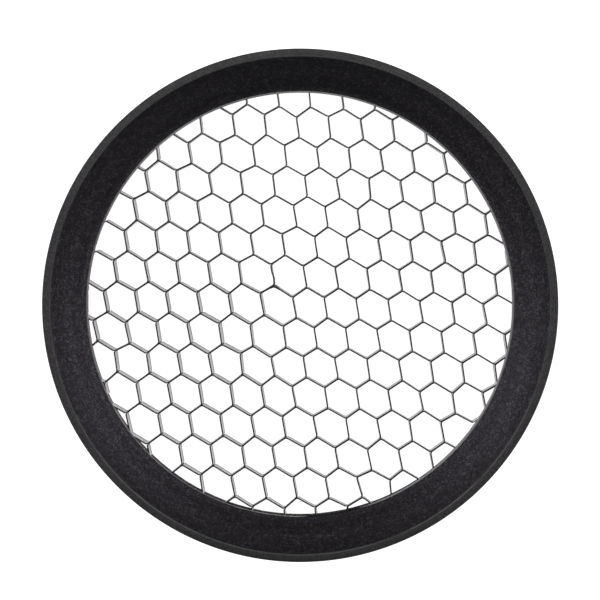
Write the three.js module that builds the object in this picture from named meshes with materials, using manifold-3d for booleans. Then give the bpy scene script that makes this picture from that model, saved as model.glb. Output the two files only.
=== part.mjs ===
// Honeycomb grid for a round flash head (magnetic front accessory).
// Units: millimetres. +Z is the axis of the ring and points to the front (light exit) side.
// Origin: centre of the ring, on the flat rear face that sits against the lamp.

import * as THREE from 'three';
import { mergeVertices } from 'three/addons/utils/BufferGeometryUtils.js';
import Module from 'manifold-3d';

const wasm = await Module();
wasm.setup();

// ---------------------------------------------------------------- driving dimensions
const RING_SEGMENTS = 96;          // facets round each ring
const OVERCUT = 1;                 // how far cutting bodies run past the faces they open

// Core of foils
const CORE_FRONT_Z = 8.1;          // front edges of the foils
const CORE_DEPTH = 5.0;            // foil width
const CORE_REAR_Z = CORE_FRONT_Z - CORE_DEPTH;

// Outer ring: wall with a flat front rim, and an inner flange
const OUTER_R = 38.0;
const RIM_INNER_R = 36.76;         // inside edge of the front rim
const TOTAL_DEPTH = 14.5;          // rear face of the grid to rim face
const RIM_CHAMFER = 0.18;          // outer front edge
const RIM_INNER_CHAMFER = 0.10;    // inner front edge
const JOINT_CHAMFER = 0.15;        // outer edges where outer and rear ring meet
const FLANGE_FRONT_Z = 8.34;
const FLANGE_REAR_Z = CORE_REAR_Z;

// Hoop round the core, with a turned-in front flange
const HOOP_WALL_R = 31.75;         // inside of the wall
const HOOP_OUTER_R = HOOP_WALL_R + 0.4;
const HOOP_EDGE_R = 31.50;         // inside edge of the front flange
const HOOP_FRONT_Z = FLANGE_FRONT_Z;
const HOOP_FLANGE_REAR_Z = CORE_FRONT_Z + 0.02;
const CORE_R = HOOP_WALL_R - 0.05; // foils end just inside the wall, behind the hoop's flange
const FLANGE_BORE_R = HOOP_OUTER_R + 0.08;  // bore of the outer ring, round the hoop

// Funnel bezel
const LIP_R = 31.85;               // inner lip, covers the outer part of the hoop's flange
const BEZEL_OUTER_R = RIM_INNER_R - 0.06;
const BEZEL_SEAT_Z = FLANGE_FRONT_Z + 0.04;

// Rear ring
const REAR_RING_FRONT_Z = FLANGE_REAR_Z - 0.05;
const REAR_RING_INNER_R = 31.95;   // overlaps the hoop's rear edge
const REAR_BORE_CHAMFER = 0.2;     // inner rear edge
const REAR_CHAMFER = 0.45;         // outer rear edge

// Magnets and their pockets, open to the rear
const MAGNET_COUNT = 8;
const MAGNET_CIRCLE_R = 35.1;
const MAGNET_R = 1.75;
const MAGNET_THICK = 1.5;
const MAGNET_CHAMFER = 0.12;       // rear edge
const MAGNET_SETBACK = 0.05;       // behind the rear face, and the same to the pocket floor
const MAGNET_SEGMENTS = 20;
const POCKET_R = MAGNET_R + 0.2;
const POCKET_DEPTH = MAGNET_THICK + 2 * MAGNET_SETBACK;

// Screws, put in from the rear between the magnets
const SCREW_COUNT = 4;
const SCREW_CIRCLE_R = MAGNET_CIRCLE_R;
const SCREW_HEAD_R = 1.35;
const SCREW_HEAD_H = 0.85;
const SCREW_HEAD_Z = 0.12;         // head sits this far inside the rear face
const SCREW_SHANK_R = 0.7;
const SCREW_LENGTH = 5.4;          // under the head
const SCREW_TIP_R = 0.25;
const SCREW_TIP_LENGTH = 0.8;
const SCREW_SEGMENTS = 16;
const RECESS_LENGTH = 1.5;         // cross recess in the head
const RECESS_WIDTH = 0.34;
const RECESS_DEPTH = 0.5;
const RECESS_TURN = 0.35;          // radians, first screw
const RECESS_TURN_STEP = 0.9;      // radians more on each next screw
const COUNTERBORE_R = SCREW_HEAD_R + 0.3;
const COUNTERBORE_DEPTH = 1.0;
const CLEARANCE_HOLE_R = SCREW_SHANK_R + 0.25;
const PILOT_HOLE_R = SCREW_SHANK_R + 0.16;
const PILOT_DEPTH = 4.4;
const WIDE_HOLE_SEGMENTS = 24;     // pockets and counterbores
const NARROW_HOLE_SEGMENTS = 16;   // clearance and pilot holes

// ---------------------------------------------------------------- materials
const standard = (settings) => new THREE.MeshStandardMaterial(settings);
const satinPlastic = () => standard({
  name: 'satin_black_plastic', color: 0x38383a, roughness: 0.48, metalness: 0.0,
});
const bandPlastic = () => standard({
  name: 'textured_black_band', color: 0x1f1e21, roughness: 0.85, metalness: 0.0,
});
const bareAluminium = () => standard({
  name: 'raw_aluminium_edge', color: 0xa9abad, roughness: 0.35, metalness: 1.0,
});
const blackFoil = () => standard({
  name: 'black_coated_foil', color: 0x2b2b2c, roughness: 0.32, metalness: 0.4,
});
const nickel = () => standard({
  name: 'nickel_plated_magnet', color: 0xc4c4c6, roughness: 0.22, metalness: 1.0,
});
const blackSteel = () => standard({
  name: 'blackened_steel', color: 0x26272a, roughness: 0.4, metalness: 0.9,
});

// ---------------------------------------------------------------- geometry helpers
function signedVolume(geometry) {
  const position = geometry.attributes.position;
  const index = geometry.index.array;
  const [a, b, c] = [new THREE.Vector3(), new THREE.Vector3(), new THREE.Vector3()];
  let volume = 0;
  for (let k = 0; k < index.length; k += 3) {
    a.fromBufferAttribute(position, index[k]);
    b.fromBufferAttribute(position, index[k + 1]);
    c.fromBufferAttribute(position, index[k + 2]);
    volume += a.dot(b.cross(c)) / 6;
  }
  return volume;
}

// Positions only, with shared vertices. Drops the collapsed triangles left on a lathe's axis,
// and turns the faces outward.
function clean(geometry) {
  const bare = geometry.clone();
  for (const name of Object.keys(bare.attributes)) {
    if (name !== 'position') bare.deleteAttribute(name);
  }
  const merged = mergeVertices(bare, 1e-5);
  const index = merged.index.array;
  const kept = [];
  for (let k = 0; k < index.length; k += 3) {
    const [a, b, c] = [index[k], index[k + 1], index[k + 2]];
    if (a !== b && b !== c && c !== a) kept.push(a, b, c);
  }
  merged.setIndex(kept);
  if (signedVolume(merged) < 0) {
    for (let k = 0; k < kept.length; k += 3) {
      [kept[k + 1], kept[k + 2]] = [kept[k + 2], kept[k + 1]];
    }
    merged.setIndex(kept);
  }
  return merged;
}

// Body of revolution about Z. The profile is a list of [radius, z]; one that stays off the axis
// closes on itself.
function revolve(profile, segments = RING_SEGMENTS) {
  const offAxis = profile.every(([radius]) => radius > 0);
  const outline = offAxis ? [...profile, profile[0]] : profile;
  const points = outline.map(([radius, z]) => new THREE.Vector2(radius, z));
  const geometry = new THREE.LatheGeometry(points, segments);
  geometry.rotateX(Math.PI / 2);      // the lathe turns about Y; stand it on Z
  return clean(geometry);
}

function cylinder({ radius, from, to, segments, x = 0, y = 0 }) {
  const geometry = new THREE.CylinderGeometry(radius, radius, to - from, segments);
  geometry.rotateX(Math.PI / 2);
  geometry.translate(x, y, (from + to) / 2);
  return geometry;
}

function solid(geometry) {
  const cleaned = clean(geometry);
  return new wasm.Manifold(new wasm.Mesh({
    numProp: 3,
    vertProperties: new Float32Array(cleaned.attributes.position.array),
    triVerts: new Uint32Array(cleaned.index.array),
  }));
}

function geometryOf(manifold) {
  const mesh = manifold.getMesh();
  const geometry = new THREE.BufferGeometry();
  geometry.setAttribute('position', new THREE.Float32BufferAttribute(mesh.vertProperties, 3));
  geometry.setIndex(Array.from(mesh.triVerts));
  return geometry;
}

// Cuts the same hole, from z `from` to z `to`, at each [x, y] spot.
function drill(body, spots, hole) {
  return spots.reduce((rest, [x, y]) => rest.subtract(solid(cylinder({ ...hole, x, y }))), body);
}

// Evenly spaced [x, y] spots on a circle.
function spotsOnCircle(radius, count, firstDegrees) {
  return Array.from({ length: count }, (_, k) => {
    const angle = THREE.MathUtils.degToRad(firstDegrees + k * 360 / count);
    return [radius * Math.cos(angle), radius * Math.sin(angle)];
  });
}

const root = new THREE.Group();
root.name = 'honeycomb_grid';

function addMesh(name, geometry, material, place = [0, 0, 0]) {
  geometry.computeVertexNormals();
  const mesh = new THREE.Mesh(geometry, material);
  mesh.name = name;
  mesh.position.set(...place);
  root.add(mesh);
}

const twoDigits = (number) => String(number).padStart(2, '0');
const screwSpots = spotsOnCircle(SCREW_CIRCLE_R, SCREW_COUNT, 0);
const magnetSpots = spotsOnCircle(MAGNET_CIRCLE_R, MAGNET_COUNT, 180 / MAGNET_COUNT);

// ---------------------------------------------------------------- outer ring
// L-shaped section: the flange seats the bezel in front, the hoop in its bore and the rear
// ring behind.
function addOuterRing() {
  const blank = solid(revolve([
    [FLANGE_BORE_R, FLANGE_REAR_Z],
    [OUTER_R - JOINT_CHAMFER, FLANGE_REAR_Z],
    [OUTER_R, FLANGE_REAR_Z + JOINT_CHAMFER],
    [OUTER_R, TOTAL_DEPTH - RIM_CHAMFER],
    [OUTER_R - RIM_CHAMFER, TOTAL_DEPTH],
    [RIM_INNER_R + RIM_INNER_CHAMFER, TOTAL_DEPTH],
    [RIM_INNER_R, TOTAL_DEPTH - RIM_INNER_CHAMFER],
    [RIM_INNER_R, FLANGE_FRONT_Z],
    [FLANGE_BORE_R, FLANGE_FRONT_Z],
  ]));
  const ring = drill(blank, screwSpots, {
    radius: PILOT_HOLE_R,
    from: FLANGE_REAR_Z - OVERCUT,
    to: FLANGE_REAR_Z + PILOT_DEPTH,
    segments: NARROW_HOLE_SEGMENTS,
  });
  addMesh('outer_ring', geometryOf(ring), satinPlastic());
}

// ---------------------------------------------------------------- funnel bezel
// Front surface of the bezel as [radius, z], from just behind the rim inward to the lip.
const FUNNEL_PROFILE = [
  [BEZEL_OUTER_R, 14.26], [36.62, 14.24], [36.20, 13.60], [35.70, 12.88], [35.20, 12.19],
  [34.70, 11.56], [34.20, 10.98], [33.70, 10.41], [33.20, 9.86], [32.75, 9.36],
  [32.35, 8.98], [32.05, 8.80], [LIP_R, 8.70],
];

// Textured ring inside the rim, ending in a small rounded lip over the hoop's flange.
function addFunnelBezel() {
  const profile = [[LIP_R, BEZEL_SEAT_Z], [BEZEL_OUTER_R, BEZEL_SEAT_Z], ...FUNNEL_PROFILE];
  addMesh('funnel_bezel', revolve(profile), bandPlastic());
}

// ---------------------------------------------------------------- hoop round the core
// Rolled strip with its front edge turned in: the flange keeps the foils from sliding out.
function addCoreHoop() {
  addMesh('core_hoop', revolve([
    [HOOP_WALL_R, CORE_REAR_Z],
    [HOOP_OUTER_R, CORE_REAR_Z],
    [HOOP_OUTER_R, HOOP_FRONT_Z],
    [HOOP_EDGE_R, HOOP_FRONT_Z],
    [HOOP_EDGE_R, HOOP_FLANGE_REAR_Z],
    [HOOP_WALL_R, HOOP_FLANGE_REAR_Z],
  ]), bareAluminium());
}

// ---------------------------------------------------------------- rear ring
function addRearRing() {
  let ring = solid(revolve([
    [REAR_RING_INNER_R + REAR_BORE_CHAMFER, 0],
    [OUTER_R - REAR_CHAMFER, 0],
    [OUTER_R, REAR_CHAMFER],
    [OUTER_R, REAR_RING_FRONT_Z - JOINT_CHAMFER],
    [OUTER_R - JOINT_CHAMFER, REAR_RING_FRONT_Z],
    [REAR_RING_INNER_R, REAR_RING_FRONT_Z],
    [REAR_RING_INNER_R, REAR_BORE_CHAMFER],
  ]));
  ring = drill(ring, magnetSpots, {
    radius: POCKET_R, from: -OVERCUT, to: POCKET_DEPTH, segments: WIDE_HOLE_SEGMENTS,
  });
  ring = drill(ring, screwSpots, {
    radius: COUNTERBORE_R, from: -OVERCUT, to: COUNTERBORE_DEPTH, segments: WIDE_HOLE_SEGMENTS,
  });
  ring = drill(ring, screwSpots, {
    radius: CLEARANCE_HOLE_R,
    from: COUNTERBORE_DEPTH / 2,
    to: REAR_RING_FRONT_Z + OVERCUT,
    segments: NARROW_HOLE_SEGMENTS,
  });
  addMesh('rear_ring', geometryOf(ring), satinPlastic());
}

// ---------------------------------------------------------------- magnets
function addMagnet([x, y], k) {
  const disc = revolve([
    [0, MAGNET_SETBACK],
    [MAGNET_R - MAGNET_CHAMFER, MAGNET_SETBACK],
    [MAGNET_R, MAGNET_SETBACK + MAGNET_CHAMFER],
    [MAGNET_R, MAGNET_SETBACK + MAGNET_THICK],
    [0, MAGNET_SETBACK + MAGNET_THICK],
  ], MAGNET_SEGMENTS);
  addMesh(`magnet_${twoDigits(k + 1)}`, disc, nickel(), [x, y, 0]);
}

// ---------------------------------------------------------------- screws
// Head with a rounded rear edge at local z = 0, shank pointing to the front.
function addScrew([x, y], k) {
  const tipZ = SCREW_HEAD_H + SCREW_LENGTH;
  let screw = solid(revolve([
    [0, 0],
    [SCREW_HEAD_R - 0.35, 0],
    [SCREW_HEAD_R - 0.08, 0.2],
    [SCREW_HEAD_R, 0.45],
    [SCREW_HEAD_R, SCREW_HEAD_H],
    [SCREW_SHANK_R, SCREW_HEAD_H],
    [SCREW_SHANK_R, tipZ - SCREW_TIP_LENGTH],
    [SCREW_TIP_R, tipZ],
    [0, tipZ],
  ], SCREW_SEGMENTS));
  for (const [width, height] of [[RECESS_LENGTH, RECESS_WIDTH], [RECESS_WIDTH, RECESS_LENGTH]]) {
    // The bar is centred on the head's face, so half of it cuts.
    const bar = new THREE.BoxGeometry(width, height, 2 * RECESS_DEPTH);
    bar.rotateZ(RECESS_TURN + RECESS_TURN_STEP * k);
    screw = screw.subtract(solid(bar));
  }
  addMesh(`screw_${twoDigits(k + 1)}`, geometryOf(screw), blackSteel(), [x, y, SCREW_HEAD_Z]);
}

// ---------------------------------------------------------------- cell lattice
// The core is an expanded foil stack, so its lattice is slightly sheared and unevenly stretched.
// Node kinds: A is the upper (+Y) end of a near-vertical wall, B the lower end.
const LATTICE_ORIGIN = [-2.545, 10.195];
const STEP_I = [4.743, -0.162];
const STEP_J = [-1.594, -4.442];
const A_TO_B = [0.460, -3.083];

// Uneven stretch: cubic in position over STRETCH_R. Columns: power of x, power of y, dx, dy.
const STRETCH_R = 31.8;
const STRETCH_LIMIT = 1.1;         // the stretch stops growing beyond this relative position
const STRETCH = [
  [0, 0, -0.177, 0.109], [1, 0, 0.124, -0.131], [0, 1, -0.083, 0.122],
  [2, 0, 0.239, -0.271], [1, 1, 0.454, -0.357], [0, 2, 0.497, -0.177],
  [3, 0, -0.278, 0.169], [2, 1, -0.333, 0.004], [1, 2, 0.012, 0.322], [0, 3, 0.296, -0.260],
];

// Single nodes pushed out of line by handling, by kind. Columns: i, j, dx, dy.
const NUDGES = {
  A: [
    [-5, -2, 0.01, -0.09], [-5, -1, -0.14, 0.16], [-5, 0, 0.08, -0.12], [-5, 2, -0.04, -0.13],
    [-5, 3, -0.21, 0.07], [-4, -3, 0.00, -0.17], [-4, -2, -0.11, 0.13], [-4, -1, -0.02, -0.10],
    [-4, 1, -0.01, -0.08], [-4, 3, 0.03, -0.20], [-4, 4, -0.13, 0.17], [-4, 5, -0.25, -0.05],
    [-3, -4, 0.05, -0.11], [-3, -3, -0.08, 0.07], [-3, -2, 0.01, -0.21], [-3, -1, -0.09, 0.08],
    [-3, 2, -0.03, -0.07], [-3, 4, 0.08, -0.17], [-3, 5, -0.07, 0.00], [-3, 6, -0.20, 0.05],
    [-2, -4, 0.02, 0.07], [-2, -3, 0.04, -0.17], [-2, -2, -0.06, 0.12], [-2, 2, -0.09, 0.00],
    [-2, 3, -0.04, -0.07], [-2, 7, -0.16, 0.00], [-1, -4, 0.01, -0.15], [-1, 1, -0.13, 0.18],
    [-1, 2, -0.09, -0.11], [-1, 4, -0.07, -0.02], [0, -4, -0.04, 0.14], [0, -3, 0.03, -0.14],
    [0, 0, -0.04, 0.13], [0, 1, -0.06, 0.04], [0, 2, -0.10, 0.16], [0, 4, 0.03, 0.16],
    [1, -4, -0.04, -0.07], [1, -2, -0.06, -0.15], [1, -1, -0.07, 0.00], [1, 0, 0.07, -0.07],
    [1, 2, 0.01, -0.24], [1, 3, 0.18, -0.11], [1, 4, -0.07, -0.28], [1, 5, -0.03, -0.07],
    [1, 6, -0.05, -0.08], [1, 7, 0.08, -0.14], [1, 8, -0.04, -0.05], [2, -4, -0.10, 0.05],
    [2, -3, -0.07, -0.14], [2, -1, 0.01, -0.18], [2, 2, -0.04, -0.09], [2, 3, 0.05, -0.14],
    [2, 5, -0.14, -0.01], [2, 6, -0.07, -0.03], [2, 7, -0.06, -0.04], [2, 8, 0.00, -0.10],
    [2, 9, -0.09, -0.10], [3, -3, -0.12, -0.09], [3, -2, -0.09, -0.11], [3, -1, -0.10, -0.01],
    [3, 2, -0.05, -0.05], [3, 4, -0.06, -0.04], [3, 6, -0.18, 0.13], [3, 8, -0.09, -0.07],
    [3, 9, 0.10, -0.29], [4, -3, -0.15, -0.20], [4, -2, -0.01, -0.07], [4, -1, -0.11, -0.02],
    [4, 3, -0.09, -0.01], [4, 7, -0.08, 0.03], [5, 0, -0.14, 0.09], [5, 2, -0.07, -0.02],
    [5, 6, -0.08, 0.04], [5, 7, 0.03, -0.08], [5, 8, -0.05, 0.21], [5, 9, 0.08, 0.22],
    [6, -1, 0.01, -0.08], [6, 0, 0.02, 0.08], [6, 5, -0.08, -0.13], [6, 7, -0.08, 0.04],
    [6, 8, 0.20, -0.10], [7, 1, 0.06, -0.09], [7, 2, -0.10, -0.06], [7, 3, 0.04, -0.06],
    [7, 4, -0.07, -0.03], [7, 5, 0.10, -0.18], [7, 6, -0.08, -0.01], [7, 7, -0.05, -0.16],
    [8, 4, 0.07, -0.10], [8, 5, -0.15, 0.13],
  ],
  B: [
    [-5, -3, -0.03, 0.20], [-5, -2, 0.13, -0.02], [-5, -1, -0.03, 0.18], [-5, 0, 0.12, 0.03],
    [-5, 2, 0.05, -0.06], [-5, 3, 0.00, 0.23], [-4, -3, 0.14, -0.13], [-4, -2, -0.13, 0.09],
    [-4, -1, 0.06, 0.06], [-4, 1, 0.11, 0.00], [-4, 3, 0.20, -0.17], [-4, 4, -0.22, 0.22],
    [-3, -5, 0.16, 0.14], [-3, -4, 0.14, -0.09], [-3, -3, -0.07, 0.09], [-3, -2, 0.11, -0.02],
    [-3, -1, -0.02, 0.09], [-3, 5, -0.02, 0.11], [-2, -5, 0.14, -0.01], [-2, -4, 0.02, 0.12],
    [-2, -3, 0.12, -0.12], [-2, -2, -0.01, 0.07], [-2, -1, 0.05, 0.06], [-2, 0, 0.03, 0.06],
    [-2, 3, 0.07, 0.02], [-2, 4, 0.07, -0.02], [-2, 5, 0.07, 0.03], [-2, 6, 0.04, 0.12],
    [-1, -5, -0.02, 0.09], [-1, -4, 0.12, -0.12], [-1, 0, 0.07, 0.02], [-1, 1, -0.18, 0.13],
    [-1, 2, -0.08, 0.13], [-1, 4, 0.07, 0.00], [-1, 6, 0.03, 0.06], [-1, 7, -0.01, 0.13],
    [0, -5, 0.14, -0.03], [0, -3, 0.09, 0.00], [0, -1, 0.13, -0.06], [0, 0, 0.01, 0.10],
    [0, 1, -0.06, 0.03], [0, 2, 0.06, 0.04], [0, 3, -0.05, -0.12], [0, 4, -0.10, 0.13],
    [0, 7, 0.02, 0.07], [1, -5, 0.01, 0.11], [1, -4, 0.09, 0.01], [1, -2, 0.09, -0.05],
    [1, -1, -0.01, 0.08], [1, 0, 0.09, 0.00], [1, 1, 0.11, -0.10], [1, 2, 0.14, -0.21],
    [1, 3, 0.17, -0.17], [1, 4, -0.01, 0.10], [1, 6, 0.02, 0.07], [1, 7, 0.07, -0.03],
    [1, 8, 0.08, 0.02], [2, -3, 0.06, -0.04], [2, -2, -0.10, 0.03], [2, 0, 0.09, 0.02],
    [2, 1, 0.08, -0.01], [2, 3, 0.07, -0.02], [2, 5, -0.02, 0.11], [2, 8, 0.14, -0.18],
    [3, -4, 0.01, -0.09], [3, 0, 0.12, 0.00], [3, 6, -0.04, 0.15], [4, -3, 0.06, -0.03],
    [4, -1, 0.01, 0.09], [4, 1, 0.08, 0.02], [4, 5, 0.01, 0.07], [4, 7, -0.04, 0.15],
    [4, 8, 0.08, 0.01], [5, -2, 0.10, 0.03], [5, 0, 0.11, 0.10], [5, 4, 0.08, 0.05],
    [5, 5, 0.05, 0.05], [5, 6, 0.01, 0.22], [5, 7, 0.20, -0.11], [5, 8, 0.38, 0.27],
    [6, -1, 0.07, -0.01], [6, 5, 0.04, 0.16], [6, 7, 0.05, 0.07], [7, 2, 0.06, 0.02],
    [7, 3, 0.09, -0.02], [7, 4, -0.15, 0.12], [7, 5, 0.07, -0.12],
  ],
};

// Front end of a cell corner.
function latticeNode(kind, i, j) {
  const isB = kind === 'B' ? 1 : 0;
  const regular = [0, 1].map((axis) => (
    LATTICE_ORIGIN[axis] + i * STEP_I[axis] + j * STEP_J[axis] + isB * A_TO_B[axis]
  ));
  const [relX, relY] = regular.map((value) => (
    THREE.MathUtils.clamp(value / STRETCH_R, -STRETCH_LIMIT, STRETCH_LIMIT)
  ));
  let [x, y] = regular;
  for (const [powerX, powerY, dx, dy] of STRETCH) {
    x += dx * relX ** powerX * relY ** powerY;
    y += dy * relX ** powerX * relY ** powerY;
  }
  const nudge = NUDGES[kind].find(([ni, nj]) => ni === i && nj === j);
  return nudge ? [x + nudge[2], y + nudge[3]] : [x, y];
}

// Lean of the cells: how far the rear end of a corner is shifted from its front end. The upper
// and lower halves (+Y and -Y) are twisted slightly against each other.
// Rows: shift in x, shift in y. Columns: factors of 1, x, y, x x, x y, over STRETCH_R.
const LEAN_UPPER = [
  [0.016, -0.111, -0.022, 0.055, -0.053],
  [-0.027, -0.043, 0.052, -0.011, -0.025],
];
const LEAN_LOWER = [
  [0.073, -0.103, -0.027, 0.034, 0.080],
  [-0.023, -0.092, 0.084, 0.077, 0.017],
];
const LEAN_BLEND_Y = [1.0, 4.5];   // the lower lean gives way to the upper between these

function lean([x, y]) {
  const lower = 1 - THREE.MathUtils.smoothstep(y, ...LEAN_BLEND_Y);
  const relX = x / STRETCH_R;
  const relY = y / STRETCH_R;
  const terms = [1, relX, relY, relX * relX, relX * relY];
  const shift = (factors) => factors.reduce((sum, factor, m) => sum + factor * terms[m], 0);
  return [0, 1].map((axis) => (
    shift(LEAN_UPPER[axis]) * (1 - lower) + shift(LEAN_LOWER[axis]) * lower
  ));
}

// ---------------------------------------------------------------- foils
// Each foil is bonded to a neighbour at every second wall.
const FOIL = 0.11;                 // coated foil where two are bonded together
const FREE_WALL = 0.18;            // coated free wall
const BOND_GAP = 0.02;             // adhesive line
const MIN_FOIL_VOLUME = 1.1;       // smaller scraps at the very edge are left out
const FOIL_REACH = 7;              // nodes this far outside the core still count for a foil
const FOIL_RANGE = [-16, 18];      // values of i + j tried, one foil each
const NODE_RANGE = [-16, 17];      // values of i tried along a foil

// Offsets of a wall's right and left face from its node line, positive to the left of travel.
const WALL_FACES = {
  free: [-FREE_WALL / 2, FREE_WALL / 2],
  bondRight: [-(BOND_GAP / 2 + FOIL), -BOND_GAP / 2],
  bondLeft: [BOND_GAP / 2, BOND_GAP / 2 + FOIL],
};

// Line parallel to start-end, moved to its left.
function offsetLine(start, end, distance) {
  const [dx, dy] = [end[0] - start[0], end[1] - start[1]];
  const length = Math.hypot(dx, dy);
  const [ux, uy] = [dx / length, dy / length];
  return { point: [start[0] - uy * distance, start[1] + ux * distance], along: [ux, uy] };
}

function meet(first, second) {
  const [ux, uy] = first.along;
  const [vx, vy] = second.along;
  const gapX = second.point[0] - first.point[0];
  const gapY = second.point[1] - first.point[1];
  const travel = (gapX * vy - gapY * vx) / (ux * vy - uy * vx);
  return [first.point[0] + ux * travel, first.point[1] + uy * travel];
}

// One corrugated foil: bonds alternate between its two neighbours, with free walls between.
// walls[k] runs from nodes[k] to nodes[k + 1].
function foilPath(foil, first, end) {
  const nodes = [];
  const walls = [];
  for (let i = first; i < end; i++) {
    const j = foil - i;
    nodes.push(latticeNode('A', i, j + 1), latticeNode('B', i, j));
    nodes.push(latticeNode('A', i + 1, j + 1), latticeNode('B', i + 1, j));
    walls.push('bondRight', 'free', 'bondLeft', 'free');
  }
  return { nodes, walls };
}

function foilGeometry({ nodes, walls }) {
  const inner = nodes.slice(1, -1);
  const [right, left] = [0, 1].map((face) => inner.map((node, k) => meet(
    offsetLine(nodes[k], node, WALL_FACES[walls[k]][face]),
    offsetLine(node, nodes[k + 2], WALL_FACES[walls[k + 1]][face]),
  )));
  const count = inner.length;
  const positions = [];
  for (const z of [CORE_FRONT_Z, CORE_REAR_Z]) {
    for (const side of [left, right]) {
      side.forEach(([x, y], k) => {
        const [dx, dy] = z === CORE_REAR_Z ? lean(inner[k]) : [0, 0];
        positions.push(x + dx, y + dy, z);
      });
    }
  }
  // First vertex of each run: front left, front right, rear left, rear right.
  const [FL, FR, RL, RR] = [0, count, 2 * count, 3 * count];
  const index = [];
  const quad = (a, b, c, d) => index.push(a, b, c, a, c, d);
  const last = count - 1;
  for (let k = 0; k < last; k++) {
    quad(FR + k, FR + k + 1, FL + k + 1, FL + k);      // front edge
    quad(RL + k, RL + k + 1, RR + k + 1, RR + k);      // rear edge
    quad(FL + k, FL + k + 1, RL + k + 1, RL + k);      // left face
    quad(RR + k, RR + k + 1, FR + k + 1, FR + k);      // right face
  }
  quad(FL, RL, RR, FR);
  quad(FR + last, RR + last, RL + last, FL + last);
  const geometry = new THREE.BufferGeometry();
  geometry.setAttribute('position', new THREE.Float32BufferAttribute(positions, 3));
  geometry.setIndex(index);
  return geometry;
}

// Pieces of one foil inside the core, from -X to +X; none if it misses the core.
function foilPieces(foil, coreDisc) {
  const span = [];
  for (let i = NODE_RANGE[0]; i <= NODE_RANGE[1]; i++) {
    const [x, y] = latticeNode('A', i, foil - i + 1);
    if (Math.hypot(x, y) < CORE_R + FOIL_REACH) span.push(i);
  }
  if (span.length < 2) return [];
  const long = solid(foilGeometry(foilPath(foil, span[0] - 1, span.at(-1) + 2)));
  return long.intersect(coreDisc).decompose()
    .filter((piece) => piece.volume() > MIN_FOIL_VOLUME)
    .sort((a, b) => a.boundingBox().min[0] - b.boundingBox().min[0]);
}

function addFoils() {
  const coreDisc = solid(cylinder({
    radius: CORE_R,
    from: CORE_REAR_Z - OVERCUT,
    to: CORE_FRONT_Z + OVERCUT,
    segments: RING_SEGMENTS,
  }));
  let foilNumber = 0;
  for (let foil = FOIL_RANGE[0]; foil <= FOIL_RANGE[1]; foil++) {
    const pieces = foilPieces(foil, coreDisc);
    if (!pieces.length) continue;
    foilNumber += 1;
    const label = `foil_ribbon_${twoDigits(foilNumber)}`;
    pieces.forEach((piece, k) => {
      const name = pieces.length > 1 ? `${label}_${'abcdef'[k]}` : label;
      addMesh(name, geometryOf(piece), blackFoil());
    });
  }
}

// ---------------------------------------------------------------- assembly
addOuterRing();
addFunnelBezel();
addCoreHoop();
addRearRing();
magnetSpots.forEach(addMagnet);
screwSpots.forEach(addScrew);
addFoils();

export default root;
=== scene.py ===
# Honeycomb grid: a black moulded ring with a textured flared band, round a core of foil cells.
# The ring's axis is +Z, with the rear face at z = 0 and the rim facing +Z. "Front" is +Z, "lower"
# is -Y. Lengths are in millimetres unless marked, and are scaled by MM when a mesh is made.
import math
from functools import cached_property

import bmesh
import bpy
import numpy as np
from mathutils import Matrix, Vector


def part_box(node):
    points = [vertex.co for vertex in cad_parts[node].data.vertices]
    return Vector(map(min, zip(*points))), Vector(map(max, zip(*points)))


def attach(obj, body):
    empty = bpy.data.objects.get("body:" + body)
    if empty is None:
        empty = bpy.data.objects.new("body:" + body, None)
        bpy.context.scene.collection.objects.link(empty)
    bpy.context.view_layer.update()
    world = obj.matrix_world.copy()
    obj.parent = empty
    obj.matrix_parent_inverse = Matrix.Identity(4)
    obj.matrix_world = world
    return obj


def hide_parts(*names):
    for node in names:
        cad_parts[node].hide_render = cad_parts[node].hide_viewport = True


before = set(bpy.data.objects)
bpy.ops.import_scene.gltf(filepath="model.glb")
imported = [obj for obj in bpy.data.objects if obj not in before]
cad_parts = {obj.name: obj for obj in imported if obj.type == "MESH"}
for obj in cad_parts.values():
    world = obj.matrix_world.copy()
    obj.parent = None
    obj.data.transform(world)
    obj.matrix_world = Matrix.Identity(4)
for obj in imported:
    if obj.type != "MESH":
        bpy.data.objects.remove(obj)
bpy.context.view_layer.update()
MM = 0.001


# ------------------------------------------------------------------ sizes read from the frame
def box_mm(node):
    low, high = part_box(node)
    return np.array(low) * 1000.0, np.array(high) * 1000.0


ring_low, ring_high = box_mm("outer_ring")
hoop_low, hoop_high = box_mm("core_hoop")
bezel_low, bezel_high = box_mm("funnel_bezel")
rear_high = box_mm("rear_ring")[1]
foil_high = box_mm("foil_ribbon_12")[1]

OUTER_R = ring_high[0]
RIM_Z = ring_high[2]
FLANGE_REAR_Z = ring_low[2]
RIM_INNER_R = 36.76
BEZEL_OUTER_R = bezel_high[0]
BEZEL_SEAT_Z = bezel_low[2]
CORE_FRONT_Z = foil_high[2]
CORE_REAR_Z = hoop_low[2]
HOOP_FRONT_Z = hoop_high[2]
HOOP_OUTER_R = hoop_high[0]
HOOP_WALL_R = HOOP_OUTER_R - 0.40       # inside of the hoop's wall
HOOP_EDGE_R = HOOP_OUTER_R - 0.65       # free edge of the hoop's front flange
FLANGE_BORE_R = HOOP_OUTER_R + 0.08
LIP_R = HOOP_OUTER_R - 0.26             # inner edge of the bezel
REAR_TOP_Z = rear_high[2]
REAR_INNER_R = HOOP_OUTER_R - 0.20
OVAL = 0.09 / OUTER_R                   # share by which the rings are wider and less tall

MAGNETS = sorted(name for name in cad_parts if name.startswith("magnet_"))
SCREWS = sorted(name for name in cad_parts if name.startswith("screw_"))


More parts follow.
